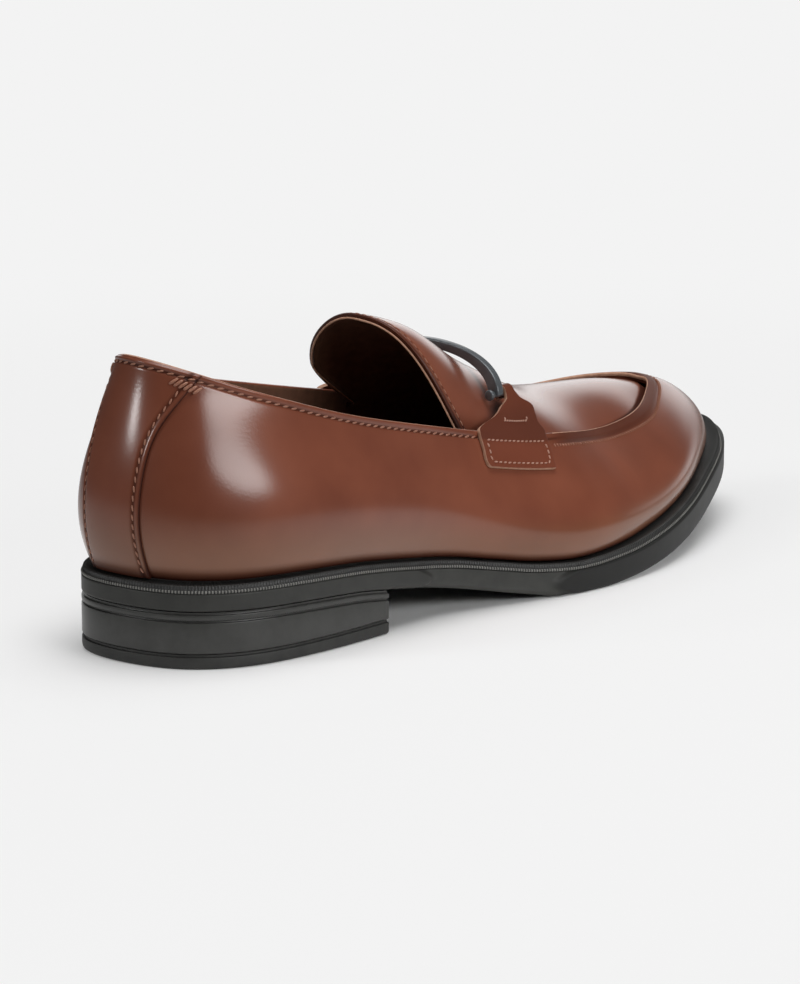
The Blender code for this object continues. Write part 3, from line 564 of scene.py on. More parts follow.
def calf(name, tones, shine):
    """Polished calf: dyed through, waxed and brushed. Even reddish brown with slow clouds of
    dye, tan towards the sole, partly where the wax is yellower and partly as a painted tint of
    the floor's warm reflection there, darker and duller where it is burnished along seams and
    where shade is painted into grooves, creases and along the foot, with a fine tight grain under
    a clear shine. The grain is drawn coarser than its real 0.3 mm, so that it shows from a step
    away. The tones are two of dye, one of burnish and painted shade, and the tan."""
    material, tree, shader = new_material(name, {
        "Coat Weight": shine, "Coat Roughness": 0.18, "Coat IOR": 1.5, "Specular IOR Level": 0.12})
    cloud, colour = spotted(tree, CLOUD_MM, 3.0, 0.5, (0.34, 0.68), tones[:2])
    colour = tinted(tree, colour, "tan", tones[3])
    tree.links.new(tinted(tree, colour, "burnish_and_shade", tones[2]), shader.inputs["Base Color"])
    skinned(tree, shader, cloud, (0.42, 0.55), GRAIN_MM, 2.0, 0.2, 0.1, ("Normal", "Coat Normal"))
    burnish_and_shade = node(tree, "ShaderNodeAttribute", attribute_name="burnish_and_shade")
    dulled = node(tree, "ShaderNodeMapRange", {"From Max": 0.6, "To Min": shine, "To Max": 0.1},
                  {"Value": burnish_and_shade.outputs["Fac"]})
    tree.links.new(dulled.outputs["Result"], shader.inputs["Coat Weight"])
    return material


def speckled(name, colours, mirror, spot_mm, relief_mm, strength, roughness, shade=None, metallic=0.0):
    """A surface with spots of two tones and a fine relief; mirror is how far it throws light back,
    and shade a tone of painted shade laid on as far as the piece's own numbers say."""
    material, tree, shader = new_material(name, {"Specular IOR Level": mirror, "Metallic": metallic})
    spots, colour = spotted(tree, spot_mm, 4.0, 0.6, (0.32, 0.7), colours)
    if shade:
        colour = tinted(tree, colour, "burnish_and_shade", shade)
    tree.links.new(colour, shader.inputs["Base Color"])
    skinned(tree, shader, spots, roughness, relief_mm, 3.0, strength, 0.15)
    return material


# The third tone darkens where the leather is burnished, and also lays painted shade in grooves, creases
# and along the foot
CALF = calf("polished_calf", ("#703c2a", "#7f4733", "#33150c", "#765234"), 1.0)
# The tabs are darker at their necks and keep half the shine
TAB_CALF = calf("burnished_calf", ("#6b3827", "#733d2b", "#43231a", "#765234"), 0.5)
# Leather cut with a knife: the pale undyed core, matt and a little fibrous
CUT_EDGE = speckled("cut_leather_edge", ("#a57a62", "#c39a82"), 0.3, 1.6, 0.5, 0.2, (0.55, 0.7))
# Lining leather: thin and matt, a plain brown that goes dark inside the shoe
LINING = speckled("dark_lining_leather", ("#5c3e2f", "#6e4c3a"), 0.25, 3.0, 0.6, 0.25, (0.6, 0.75))
# Moulded rubber with a satin skin: charcoal, with slow cloudy flow marks and a fine tooth
RUBBER = speckled("moulded_rubber", ("#343432", "#3e3e3c"), 0.4, 7.0, 0.5, 0.12, (0.3, 0.4))
# The sole's side is duller, and painted shade makes it blacker on the forefoot tier, and a
# little on the rear band, than at the waist
SOLE_RUBBER = speckled("moulded_sole_rubber", ("#393937", "#434340"), 0.25, 7.0, 0.5, 0.12,
                       (0.45, 0.55), shade="#222221")
# The welt is a blacker rubber, and the proud teeth of its bead carry a dull grey painted
# highlight
RIBBED_RUBBER = speckled("ribbed_rubber", ("#242423", "#2d2d2c"), 0.4, 7.0, 0.5, 0.12, (0.38, 0.48))
BEAD_TEETH_HIGHLIGHT = speckled("bead_teeth_painted_highlight", ("#6b6a66", "#807f7a"), 0.4, 2.0, 0.5, 0.12, (0.4, 0.5))
# The layer that walks on the floor: scuffed, so blacker and quite dull
TREAD_RUBBER = speckled("worn_rubber", ("#2b2b2a", "#353533"), 0.35, 5.0, 0.5, 0.2, (0.5, 0.62))
# Waxed thread: paler than the leather, so that each stitch stands out, with a low sheen
THREAD = speckled("waxed_thread", ("#8c5c48", "#a5755f"), 0.4, 0.9, 0.25, 0.3, (0.4, 0.5))
PALE_THREAD = speckled("pale_waxed_thread", ("#a07866", "#bd9583"), 0.4, 0.9, 0.25, 0.3, (0.4, 0.5))
# Gunmetal-plated steel, brushed then polished: dark grey with a soft reflection
GUNMETAL = speckled("polished_gunmetal", ("#55595c", "#62666a"), 0.6, 6.0, 0.8, 0.02, (0.26, 0.34),
                    metallic=0.25)


# Upper


def ridge_fade(ring):
    return ramp(top_edge(ring)[:, 0], RIDGE_FROM, RIDGE_FULL)


def crease_lift(ring, rise):
    """Depth of the creases, a little less on the medial side."""
    x = wall(ring, 0.5)[:, 0]
    side = np.where(np.mod(ring, 2) <= 1, 1.0, 0.8)
    lift = np.zeros_like(x)
    for station, lean, reach, deep, low, high in CREASES:
        middle = station + lean * (rise - 0.6)
        fade = ramp(rise, low, (low + high) / 2) * (1 - ramp(rise, (low + high) / 2, high))
        lift -= deep * side * bump(x, middle, reach) * fade
    return lift


def wall_lift(ring, rise):
    """Relief on the wall's face: ridge, stitch grooves, rolled collar and creases."""
    down = (1 - rise) * top_pace(ring)
    fade = ridge_fade(ring)
    ridge = RIDGE_RAISE * (1 - ramp(down, RIDGE_BAND - 1.0, RIDGE_BAND + 0.6))
    ridge -= RIDGE_GROOVE * bump(down, RIDGE_BAND + 0.7, 0.5)
    collar = COLLAR_ROLL * bump(down, 0.0, 1.4) - COLLAR_GROOVE * bump(down, COLLAR_SEAM, 0.55)
    return ridge * fade + collar * (1 - fade) + crease_lift(ring, rise)


def foot_tan(rise):
    """How far the leather turns tan towards the sole; the tan partly stands in for the warm tint of
    the floor's reflection there.
    """
    return 0.5 * (1 - ramp(rise, *FOOT_TAN))


def make_upper():
    """Quarters and vamp in one sheet: up the outside, over the top edge and down the lining."""
    columns = 720
    ring = np.arange(columns + 1) * 2 / columns
    pace = top_pace(ring)
    fade = ridge_fade(ring)
    top = 1 - EDGE_ROUND / pace
    close = 0.86  # rows lie closer from here up, for the ridge and the seams
    leather, cut_edge, lining = 0, 1, 2
    rows, rises, faces = [], [], []

    def add(rise, lift, face):
        rows.append(skin(ring, rise, lift))
        rises.append(np.broadcast_to(rise, ring.shape))
        faces.append(np.broadcast_to(face, columns))

    for rise, lift in ((0.0, -2.2), (0.0, -1.0), (0.002, -0.45), (0.008, -0.12), (0.018, 0.0)):
        add(rise, lift, leather)
    for rise in np.linspace(0.034, close, 38):
        add(rise, wall_lift(ring, np.full_like(ring, rise)), leather)
    for share in np.linspace(0, 1, 29)[1:]:
        rise = close + (top - close) * share
        add(rise, wall_lift(ring, rise), leather)
    crown = wall_lift(ring, top)
    ridge_cut = np.where(fade[:-1] > 0.5, cut_edge, leather)
    for angle in np.linspace(0, math.pi, 9)[1:]:
        rise = 1 - EDGE_ROUND / pace * (1 - math.sin(angle))
        add(rise, crown - (UPPER_WALL + crown) / 2 * (1 - math.cos(angle)),
            cut_edge if 1.0 < angle < 1.6 else ridge_cut if angle < 1.0 else leather)
    for rise in np.linspace(0.965, 0.04, 14):
        add(rise, -UPPER_WALL, lining)
    piece = new_sheet("upper_quarters_and_vamp", np.array(rows))
    rises = np.array(rises)
    down = (1 - rises) * pace
    # Darker on the ridge's band, burnished and with painted shade on its steep face; along the foot,
    # painted shade where the wall turns under, with some burnish; in the collar's seam groove,
    # painted shade; and on the heel counter, painted shade where the light falls off
    burnish_and_shade = 0.6 * fade * (1 - ramp(down, RIDGE_BAND - 0.2, RIDGE_BAND + 1.0))
    burnish_and_shade += 0.95 * (1 - ramp(rises, *FOOT_LINE))
    burnish_and_shade += 0.8 * bump(down, COLLAR_SEAM, 0.5) * (1 - fade)
    # Painted shade on the heel counter, where the light falls off towards the heel
    counter = bump(wall(ring, 0.5)[:, 0], 2.0, 15.0)
    burnish_and_shade += 0.3 * counter * ramp(rises, 0.1, 0.4) * (1 - ramp(rises, 0.7, 0.95))
    note(piece, "burnish_and_shade", np.clip(burnish_and_shade, 0, 1))
    # The tan along the foot partly stands in for the warm tint of the floor's reflection there
    note(piece, "tan", foot_tan(rises))
    piece.data.polygons.foreach_set("material_index", np.array(faces[1:], np.int32).ravel())
    close_up(piece, recalculate=False)
    finish(piece, (CALF, CUT_EDGE, LINING), ("upper",))


def inward(ring):
    """Level direction from the top edge into the shoe."""
    along = top_edge(ring + RING_STEP)[:, :2] - top_edge(ring - RING_STEP)[:, :2]
    return unit(np.column_stack([-along[:, 1], along[:, 0], np.zeros(len(along))]))


FINE_RING = np.linspace(0.2, 1, 6000)
FINE_STATION = top_edge(FINE_RING)[:, 0]


def tongue_end(shares):
    """Station of the tongue's free end at shares from -1 lateral to 1 medial."""
    lateral = TONGUE_SWEEP_LATERAL[0] * np.abs(shares) ** TONGUE_SWEEP_LATERAL[1]
    medial = TONGUE_SWEEP_MEDIAL[0] * np.abs(shares) ** TONGUE_SWEEP_MEDIAL[1]
    return TONGUE_END + np.where(shares < 0, lateral, medial)


def instep(shares, place):
    """A row of points over the instep; place is -1 at the toe of the plug, 0 at the throat and
    1 at the tongue's free end."""
    place = np.broadcast_to(place, shares.shape)
    tongue = THROAT + (tongue_end(shares) - THROAT) * place
    x = np.where(place >= 0, tongue, THROAT - (FINE_STATION[-1] - THROAT) * place)
    ring = np.interp(x, FINE_STATION, FINE_RING)
    free = 1 - ramp(x, 146.0, 160.0)
    tuck = (1.5 + 1.3 * free)[:, None]
    drop = (1.5 + 1.7 * free)[:, None] * (0, 0, 1)
    left, right = (top_edge(side) + inward(side) * tuck - drop for side in (ring, 2 - ring))
    point = (left + right) / 2 + (right - left) / 2 * shares[:, None]
    chord = (left[:, 2] + right[:, 2]) / 2
    middle = np.maximum(crest(np.minimum(x, FINE_STATION[-1]))[:, 0], chord)
    full = np.where(shares < 0, FULL_DOME_LATERAL, FULL_DOME_MEDIAL)
    power = FLAT_DOME + (full - FLAT_DOME) * ramp(x, DOME_FLAT_AT, DOME_FULL_AT)
    point[:, 2] += (middle - chord) * (1 - np.abs(shares) ** power)
    high = (point[:, 2] - left[:, 2]) / np.maximum(middle - left[:, 2], 0.1)
    swell = TONGUE_BULGE * ramp(place, 0, 1) * ramp(high, *BULGE_SHARE) * (1 - high)
    point[:, 1] += swell * (shares > 0)
    return point


def grid_normals(grid):
    return unit(np.cross(np.gradient(grid, axis=0), np.gradient(grid, axis=1)))


def make_plug_and_tongue():
    """One sheet from the toe of the plug back to the end of the tongue, its sides tucked into
    the wall; the free end is turned over and sewn, with the lining's cut edge inside it."""
    shares = np.sin(np.linspace(-0.5, 0.5, 71) * math.pi)
    front = -np.sin(np.linspace(math.pi / 2, 0, 70))
    places = np.concatenate([front, np.linspace(0, 0.9, 46)[1:], np.linspace(0.9, 1, 20)[1:]])
    grid = np.array([instep(shares, place) for place in places])
    normals = grid_normals(grid)
    normals *= np.sign(normals[100, len(shares) // 2, 2])
    short = (1 - places)[:, None] * (THROAT - tongue_end(shares))
    free = (places > 0.5)[:, None]
    lift = -0.4 * (1 - ramp(short, 0, 0.8)) - TONGUE_GROOVE * bump(short, TONGUE_SEAM, 0.5)
    grid = grid + normals * (lift * free)[:, :, None]
    border = np.minimum(*(np.linalg.norm(grid - side, axis=2) for side in (grid[:, :1], grid[:, -1:])))
    plug = (1 - ramp(places, -0.05, 0.05))[:, None]
    # Painted shade: a dark line along the plug's sides where they tuck under the ridge, darker towards
    # the tongue's sides where it meets the wall, and in the tongue's seam groove and along its turned end
    burnish_and_shade = plug * 0.85 * (1 - ramp(border, 0.5, 1.6))
    burnish_and_shade = burnish_and_shade + (1 - plug) * 0.7 * (1 - ramp(border, 2.0, 11.0))
    burnish_and_shade += free * (0.75 * (1 - ramp(short, 0.6, 1.4)) + 0.7 * bump(short, TONGUE_SEAM, 0.45))
    sides = []
    for column, medial in ((0, False), (-1, True)):
        ring = np.interp(grid[:, column, 0], FINE_STATION, FINE_RING)
        out = -inward(2 - ring if medial else ring)
        reach = 1.3 + 0.5 * ramp(places, 0.1, 0.4)
        sides.append(grid[:, column] + out * reach[:, None] - (0, 0, 0.9))
    edge_row = grid[-1] - normals[-1] * (TONGUE_THICK - 0.25)
    grid = np.concatenate([sides[0][:, None], grid, sides[1][:, None]], axis=1)
    burnish_and_shade = np.concatenate([burnish_and_shade[:, :1], burnish_and_shade, burnish_and_shade[:, -1:]], axis=1)
    piece = new_sheet("plug_and_tongue", grid)
    note(piece, "burnish_and_shade", np.clip(burnish_and_shade, 0, 1))
    close_up(piece, recalculate=False)
    for material in (CALF, LINING):
        piece.data.materials.append(material)
    apply_modifier(piece, "SOLIDIFY", thickness=TONGUE_THICK * MM, offset=-1.0, material_offset=1)
    finish(piece, (), ("tongue",))
    cord("tongue_lining_edge", edge_row, LINING_EDGE, CUT_EDGE)


def heel_pace(rise):
    """Millimetres of wall per unit of ring at the heel back."""
    ends = [wall(RING_STEP, t) - wall(-RING_STEP, t) for t in rise]
    return np.linalg.norm(np.concatenate(ends), axis=1) / (2 * RING_STEP)


def backstay_place(rise, share):
    """Ring place on the strip, share 0 at its medial edge to 1 at its lateral edge, and its width."""
    reach = spline([r[0] for r in BACKSTAY], [r[1:] for r in BACKSTAY])(rise)
    wide = reach.sum(axis=1)
    return (-reach[:, 1] + wide * share) / heel_pace(rise), wide


def make_backstay():
    """Strip sewn up the heel back, its edges turned down onto the wall and sewn a little in."""
    rise = np.concatenate([np.linspace(0.012, 0.93, 60), np.linspace(0.93, 0.996, 20)[1:]])
    edge_mm, edge_lift, edge_tone = np.array(BACKSTAY_HEM).T
    columns = 40
    lifts = np.concatenate([edge_lift, np.full(columns, BACKSTAY_PROUD), edge_lift[::-1]])
    # The hem's darkening is burnish with a painted shadow line at the edge and painted shade in the
    # stitch groove
    tones = np.concatenate([edge_tone, np.full(columns, 0.12), edge_tone[::-1]])
    grid, tone = [], []
    for t in rise:
        _, wide = backstay_place(np.array([t]), np.array([0.0]))
        share = edge_mm / wide[0]
        inner = np.linspace(HEM_WIDTH / wide[0], 1 - HEM_WIDTH / wide[0], columns)
        shares = np.concatenate([share, inner, 1 - share[::-1]])
        place, _ = backstay_place(np.full(len(shares), t), shares)
        top = ramp(t, 0.996, 0.984)
        grid.append(skin(place, t, lifts * top + wall_lift(place, np.full(len(shares), t))))
        down = (1 - t) * top_pace(place)
        # Painted shade in the collar's seam groove and along the foot, as on the wall
        tone.append(tones + 0.8 * bump(down, COLLAR_SEAM, 0.5) + 0.8 * (1 - ramp(t, *FOOT_LINE)))
    piece = new_sheet("backstay_strip", np.array(grid))
    note(piece, "burnish_and_shade", np.clip(tone, 0, 1))
    # The tan partly stands in for the warm tint of the floor's reflection there
    note(piece, "tan", np.repeat(foot_tan(rise), len(lifts)))
    close_up(piece, recalculate=False)
    finish(piece, (CALF,), ("backstay",))


# Sole


def soften(profile, radius):
    """Rounds the corners of a profile given as rows of (depth, height) over the ring."""
    rows = [profile[0]]
    for before, corner, after in zip(profile, profile[1:], profile[2:]):
        reach_in = np.linalg.norm(before - corner, axis=-1, keepdims=True)
        reach_out = np.linalg.norm(after - corner, axis=-1, keepdims=True)
        start = corner + (before - corner) * np.minimum(radius / np.maximum(reach_in, 1e-6), 0.45)
        end = corner + (after - corner) * np.minimum(radius / np.maximum(reach_out, 1e-6), 0.45)
        rows += [start, (start + 2 * corner + end) / 4, end]
    return np.array(rows + [profile[-1]])


def edge_loops(ring, profile):
    """Points of a profile swept round the sole edge."""
    return np.array([np.column_stack([inset(ring, row[:, 0]), row[:, 1]]) for row in profile])


def spine(loop, height, steps):
    """Rows that carry a loop in to the middle line at a height worked out from the station."""
    middle = (loop + loop[::-1]) / 2
    middle[:, 2] = height(middle[:, 0])
    rows = []
    for share in np.linspace(0, 1, steps + 1)[1:]:
        row = loop + (middle - loop) * share
        row[:, 2] = loop[:, 2] + (height(row[:, 0]) - loop[:, 2]) * ramp(share, 0, 0.4)
        rows.append(row)
    return np.array(rows)


def pair(ring, depth, height):
    """A profile's row: depth in from the edge and height, one pair for each ring place."""
    shape = np.shape(ring)
    return np.stack([np.broadcast_to(depth, shape), np.broadcast_to(height, shape)], -1)


def make_welt():
    """The welt strip: fine ribs across its ledge and down its side, with a notched bead below
    whose teeth carry a pale painted highlight."""
    fine = np.linspace(0, 2, 4001)
    run = np.concatenate([[0], np.linalg.norm(np.diff(edge(fine), axis=0), axis=1).cumsum()])
    count = int(round(run[-1] / RIB_PITCH))
    points = count * 4
    places = np.interp(np.linspace(0, run[-1], points + 1), run, fine)
    x = edge(places)[:, 0]
    z = seat(x)
    foot = z - WELT_THICK
    lip = WELT_STEP * ramp(x, WELT_STEP_FROM, LENGTH)
    tooth = np.tile([0.0, 0.5, 1.0, 0.5], count + 1)[:points + 1] * RIB_DEEP
    profile = (
        (WELT_WIDTH, foot), (lip + 0.4, foot),
        # Notched bead
        (lip + 0.05 + tooth, foot + 0.12), (lip - 0.1 + tooth, foot + 0.4),
        (lip - 0.1 + tooth, foot + 0.75), (lip + 0.1 + tooth, foot + 1.0),
        # Ribbed side and ledge
        (lip + 0.4 + tooth * 0.6, foot + 1.1), (lip + 0.45 + tooth * 0.8, z - 0.7),
        (lip + 0.6 + tooth * 0.8, z - 0.25 - tooth * 0.3),
        (lip + 0.9 + tooth * 0.5, z - 0.05 - tooth * 0.5),
        (lip + 1.3, z - tooth * 0.5), (lip + 2.3, z - 0.04 - tooth * 0.6),
        (lip + 3.4, z - 0.06 - tooth * 0.5), (7.4, z),
        (WELT_WIDTH, z), (WELT_WIDTH, foot),
    )
    rows = [pair(places, *row) for row in profile]
    piece = new_sheet("ribbed_welt", edge_loops(places, rows))
    # The proud teeth of the bead get the pale painted highlight
    worn = np.zeros((len(rows) - 1, points), np.int32)
    worn[2:5] = tooth[:-1] + tooth[1:] < RIB_DEEP
    piece.data.polygons.foreach_set("material_index", worn.ravel())
    close_up(piece)
    finish(piece, (RIBBED_RUBBER, BEAD_TEETH_HIGHLIGHT), ("welt",), math.radians(70))


def side_parts(ring, height, low, high):
    """Shares of the rear band and of the forefoot tier on the sole's side, with rounded ends."""
    x = edge(ring)[:, 0]
    middle = (low + high) / 2
    share = np.clip((height - middle) / ((high - low) / 2), -1, 1)
    rear = BAND_END - BAND_ROUND * share ** 2
    front = TIER_START + TIER_ROUND * share ** 2
    return 1 - ramp(x, rear - BAND_EASE, rear), ramp(x, front, front + TIER_EASE)


def side_proud(ring, height, low, high):
    """How far the sole's side stands out."""
    band, tier = side_parts(ring, height, low, high)
    swell = ramp(edge(ring)[:, 0], TIER_START, TIER_START + TIER_SWELL)
    return WAIST_RECESS * (np.maximum(band, tier) - 1) + TIER_PROUD * swell


def make_outsole():
    """The sole under the welt: rear band, recessed waist and forefoot tier in one moulding."""
    count = 900
    ring = np.arange(count + 1) * 2 / count
    x = edge(ring)[:, 0]
    low = tread(x)
    high = seat(x) - WELT_THICK - SOLE_GAP
    rows, shades = [], []

    def add_side(depth, height):
        rows.append(pair(ring, depth - side_proud(ring, height, low, high), height))
        band, tier = side_parts(ring, height, low, high)
        # Painted shade: dark on the forefoot tier, a little on the rear band, none on the waist
        shades.append(np.maximum(0.35 * band, tier))

    heel = 1 - ramp(x, HEEL_BREAST - 1, HEEL_BREAST + 2)
    round_mm = 1.3 - 0.5 * heel
    for angle in np.linspace(0, math.pi / 2, 6):
        add_side(round_mm * (1 - math.sin(angle)), low + round_mm * (1 - math.cos(angle)))
    for share in np.linspace(0, 1, 14)[1:]:
        add_side(0.0, low + round_mm + (high - low - round_mm - 0.25) * share)
    add_side(0.3, high)
    for height in (high, seat(x)):
        rows.append(pair(ring, WELT_WIDTH + CLEARANCE, height))
        shades.append(shades[-1])
    loops = edge_loops(ring, rows)
    under = spine(loops[0], tread, 8)[::-1]
    over = spine(loops[-1], seat, 4)
    piece = new_sheet("outsole_moulding", np.concatenate([under, loops, over]))
    shades = [shades[0]] * len(under) + shades + [shades[-1]] * len(over)
    note(piece, "burnish_and_shade", np.array(shades))
    close_up(piece)
    finish(piece, (SOLE_RUBBER,), ("outsole",), math.radians(60))


def make_insole():
    """The sock over the insole board, cupped a little towards its edge."""
    count = 240
    ring = np.arange(count + 1) * 2 / count
    depth = margin(edge(ring)[:, 0]) + INSOLE_INSET
    x = inset(ring, depth)[:, 0]
    base = seat(x) + CLEARANCE
    top = base + INSOLE_THICK
    profile = ((depth, base), (depth, top - 0.5), (depth + 0.2, top - 0.1), (depth + 0.6, top))
    loops = edge_loops(ring, [pair(ring, *row) for row in profile])

    def sock(s):
        return seat(s) + CLEARANCE + INSOLE_THICK - 0.5

    def board(s):
        return seat(s) + CLEARANCE

    under = spine(loops[0], board, 3)[::-1]
    piece = new_sheet("insole_sock", np.concatenate([under, loops, spine(loops[-1], sock, 8)]))
    close_up(piece)
    finish(piece, (LINING,), ("insole",))


def make_heel():
    """Stacked heel: a thin lift between two grooves, the block, and the top piece on the floor."""
    lateral = np.linspace(0, float(ring_at(HEEL_BREAST)), 150)
    ring = np.concatenate([lateral, 2 - lateral[::-1]])
    roof = tread(edge(ring)[:, 0]) - CLEARANCE
    lift = roof - HEEL_LIFT
    foot = TOP_PIECE + CLEARANCE
    rim = TOP_PIECE - GROOVE_HIGH
    block = (
        (0.35, foot), (0.0, foot + 0.35),
        (0.0, lift - GROOVE_HIGH), (GROOVE_DEEP, lift - GROOVE_HIGH), (GROOVE_DEEP, lift), (0.0, lift),
        (0.0, roof - GROOVE_HIGH), (GROOVE_DEEP, roof - GROOVE_HIGH), (GROOVE_DEEP, roof),
    )
    top = ((1.2, 0.0), (0.35, 0.35), (0.0, 1.2), (0.0, rim), (GROOVE_DEEP, rim), (GROOVE_DEEP, TOP_PIECE))
    for name, profile, replaced, slot, material in (
        ("heel_stack", block, "heel_block", "heel_rubber", RUBBER),
        ("heel_wearing_layer", top, "heel_top_piece", "top_piece_rubber", TREAD_RUBBER),
    ):
        rows = soften(np.array([pair(ring, *row) for row in profile]), 0.4)
        loops = edge_loops(ring, rows)
        piece = new_sheet(name, np.concatenate([loops, loops[:, :1]], axis=1))
        close_up(piece, cap=True)
        finish(piece, (material,), (replaced,), math.radians(45))


# Tabs and bit


def cross_axis(side, station):
    """Point on a cross pin's axis at a station."""
    return np.array([station, *(CROSS_LATERAL if side == "lateral" else CROSS_MEDIAL)])


def tab_grid(side, ups, shares):
    """Middle surface of a tab, rows up the tab and columns across it."""
    sign = dict(SIDES)[side]
    fine = np.linspace(0.25, 0.75, 3000)
    place = fine if side == "lateral" else 2 - fine
    station = top_edge(place)[:, 0]
    middle = heights([(r[0], r[1]) for r in TAB_OUTLINE])(ups)
    half = heights([(r[0], r[2]) for r in TAB_OUTLINE])(ups)
    centre = CLEARANCE / 2 + TAB_WALL / 2
    turn = PIN_RADIUS + CLEARANCE + TAB_WALL / 2
    axis = cross_axis(side, 0)[1:]
    grid = np.zeros((len(ups), len(shares), 3))
    for r, up in enumerate(ups):
        x = middle[r] + half[r] * shares
        ring = np.interp(x, station, place)
        rise = TAB_FOOT_RISE + (1 - TAB_FOOT_RISE) * min(up, 1)
        shoulder = skin(ring, rise, centre)
        if up <= 1:
            grid[r] = np.column_stack([x, shoulder[:, 1:]])
            continue
        lean = unit(axis - shoulder[:, 1:])
        out = np.column_stack([lean[:, 1], -lean[:, 0]]) * sign
        if up <= 2:
            point = shoulder[:, 1:] + (axis + out * turn - shoulder[:, 1:]) * (up - 1)
        else:
            angle = math.pi * min(up - 2, 1)
            point = axis + (out * math.cos(angle) + lean * math.sin(angle)) * turn
            point = point - lean * TAB_LEG * max(up - 3, 0)
        grid[r] = np.column_stack([x, point])
    # The bend over the top edge is eased, as leather takes it
    bend = np.flatnonzero((ups > 0.6) & (ups < 1.7))
    for _ in range(12):
        eased = (grid[bend - 1] + 2 * grid[bend] + grid[bend + 1]) / 4
        grid[bend, :, 1:] = eased[:, :, 1:]
    return grid


TAB_UPS = np.concatenate([
    [0, 0.015, 0.035, 0.06], np.linspace(0.1, 1, 24), np.linspace(1, 2, 34)[1:],
    np.linspace(2, 3, 18)[1:], [3.3, 3.6, 4.0],
])


def make_tab(side):
    """Bottle-shaped tab, its neck folded over the cross pin; raw edges all round."""
    shares = np.linspace(-1, 1, 45)
    grid = tab_grid(side, TAB_UPS, shares)
    piece = new_sheet("bit_tab_" + side, grid)
    tone = 0.06 + 0.5 * ramp(TAB_UPS, 0.66, 0.78) - 0.3 * ramp(TAB_UPS, 1.3, 1.9)
    note(piece, "burnish_and_shade", tone[:, None] * np.ones(len(shares)))
    if grid_normals(grid)[5, 5, 1] * dict(SIDES)[side] < 0:
        select_only(piece)
        bpy.ops.object.mode_set(mode="EDIT")
        bpy.ops.mesh.select_all(action="SELECT")
        bpy.ops.mesh.flip_normals()
        bpy.ops.object.mode_set(mode="OBJECT")
    for material in (TAB_CALF, CUT_EDGE):
        piece.data.materials.append(material)
    apply_modifier(piece, "SOLIDIFY", thickness=TAB_WALL * MM, offset=0.0, material_offset_rim=1)
    apply_modifier(piece, "BEVEL", width=0.22 * MM, segments=2, limit_method="ANGLE",
                   angle_limit=math.radians(55), material=-1)
    finish(piece, (), ("tab_" + side,))


def make_bit():
    """Arched bar with flat faces and eased corners, thicker down its sides, and a cross pin with
    two discs at each end."""
    lateral = cross_axis("lateral", BIT_STATION)
    medial = cross_axis("medial", BIT_STATION)
    across = np.cos(np.linspace(0, math.pi, 121))
    rise = np.sqrt(1 - across ** 2)
    x = BIT_STATION - BIT_LEAN * np.abs(across) ** 3
    y = (lateral[1] + medial[1]) / 2 - (medial[1] - lateral[1]) / 2 * across
    foot = lateral[2] + (medial[2] - lateral[2]) * (1 - across) / 2
    z = foot + (BIT_CREST - BIT_THICK / 2 - (lateral[2] + medial[2]) / 2) * rise
    path = np.column_stack([x, y, z])
    up = unit(np.cross(np.array([1.0, 0, 0]), unit(np.gradient(path, axis=0))))
    thick = BIT_THICK + (BIT_SIDE_THICK - BIT_THICK) * across ** 2
    turn = np.linspace(0, 2 * math.pi, 41)
    a = np.sign(np.cos(turn)) * np.abs(np.cos(turn)) ** 0.3 * BIT_WIDE / 2
    b = np.sign(np.sin(turn)) * np.abs(np.sin(turn)) ** 0.3 / 2
    grid = path[:, None] + np.array([1.0, 0, 0]) * a[None, :, None]
    grid = grid + up[:, None] * (thick[:, None] * b)[:, :, None]
    bar = new_sheet("bit_bar", grid)
    close_up(bar, cap=True)
    pieces = [bar]
    for side, _ in SIDES:
        rows = [cross_axis(side, s) + np.column_stack([0 * turn, r * np.cos(turn), r * np.sin(turn)])
                for s, r in PIN_PROFILE]
        pin = new_sheet("bit_pin_" + side, np.array(rows))
        close_up(pin, cap=True)
        pieces.append(pin)
    select_only(bar)
    for piece in pieces:
        piece.select_set(True)
    bpy.ops.object.join()
    bar.name = bar.data.name = "horsebit"
    finish(bar, (GUNMETAL,), ("bit",), math.radians(40))


# Stitches


def along_path(points, pitch):
    """Even places along a run of points: centre and direction of each stitch."""
    run = np.concatenate([[0], np.cumsum(np.linalg.norm(np.diff(points, axis=0), axis=1))])
    count = max(int(run[-1] / pitch), 1)
    step = run[-1] / count
    at = (np.arange(count) + 0.5) * step
    behind, centre, ahead = (
        np.column_stack([np.interp(at + step * share, run, values) for values in points.T])
        for share in (-0.4, 0.0, 0.4))
    return centre, unit(ahead - behind), at / run[-1]


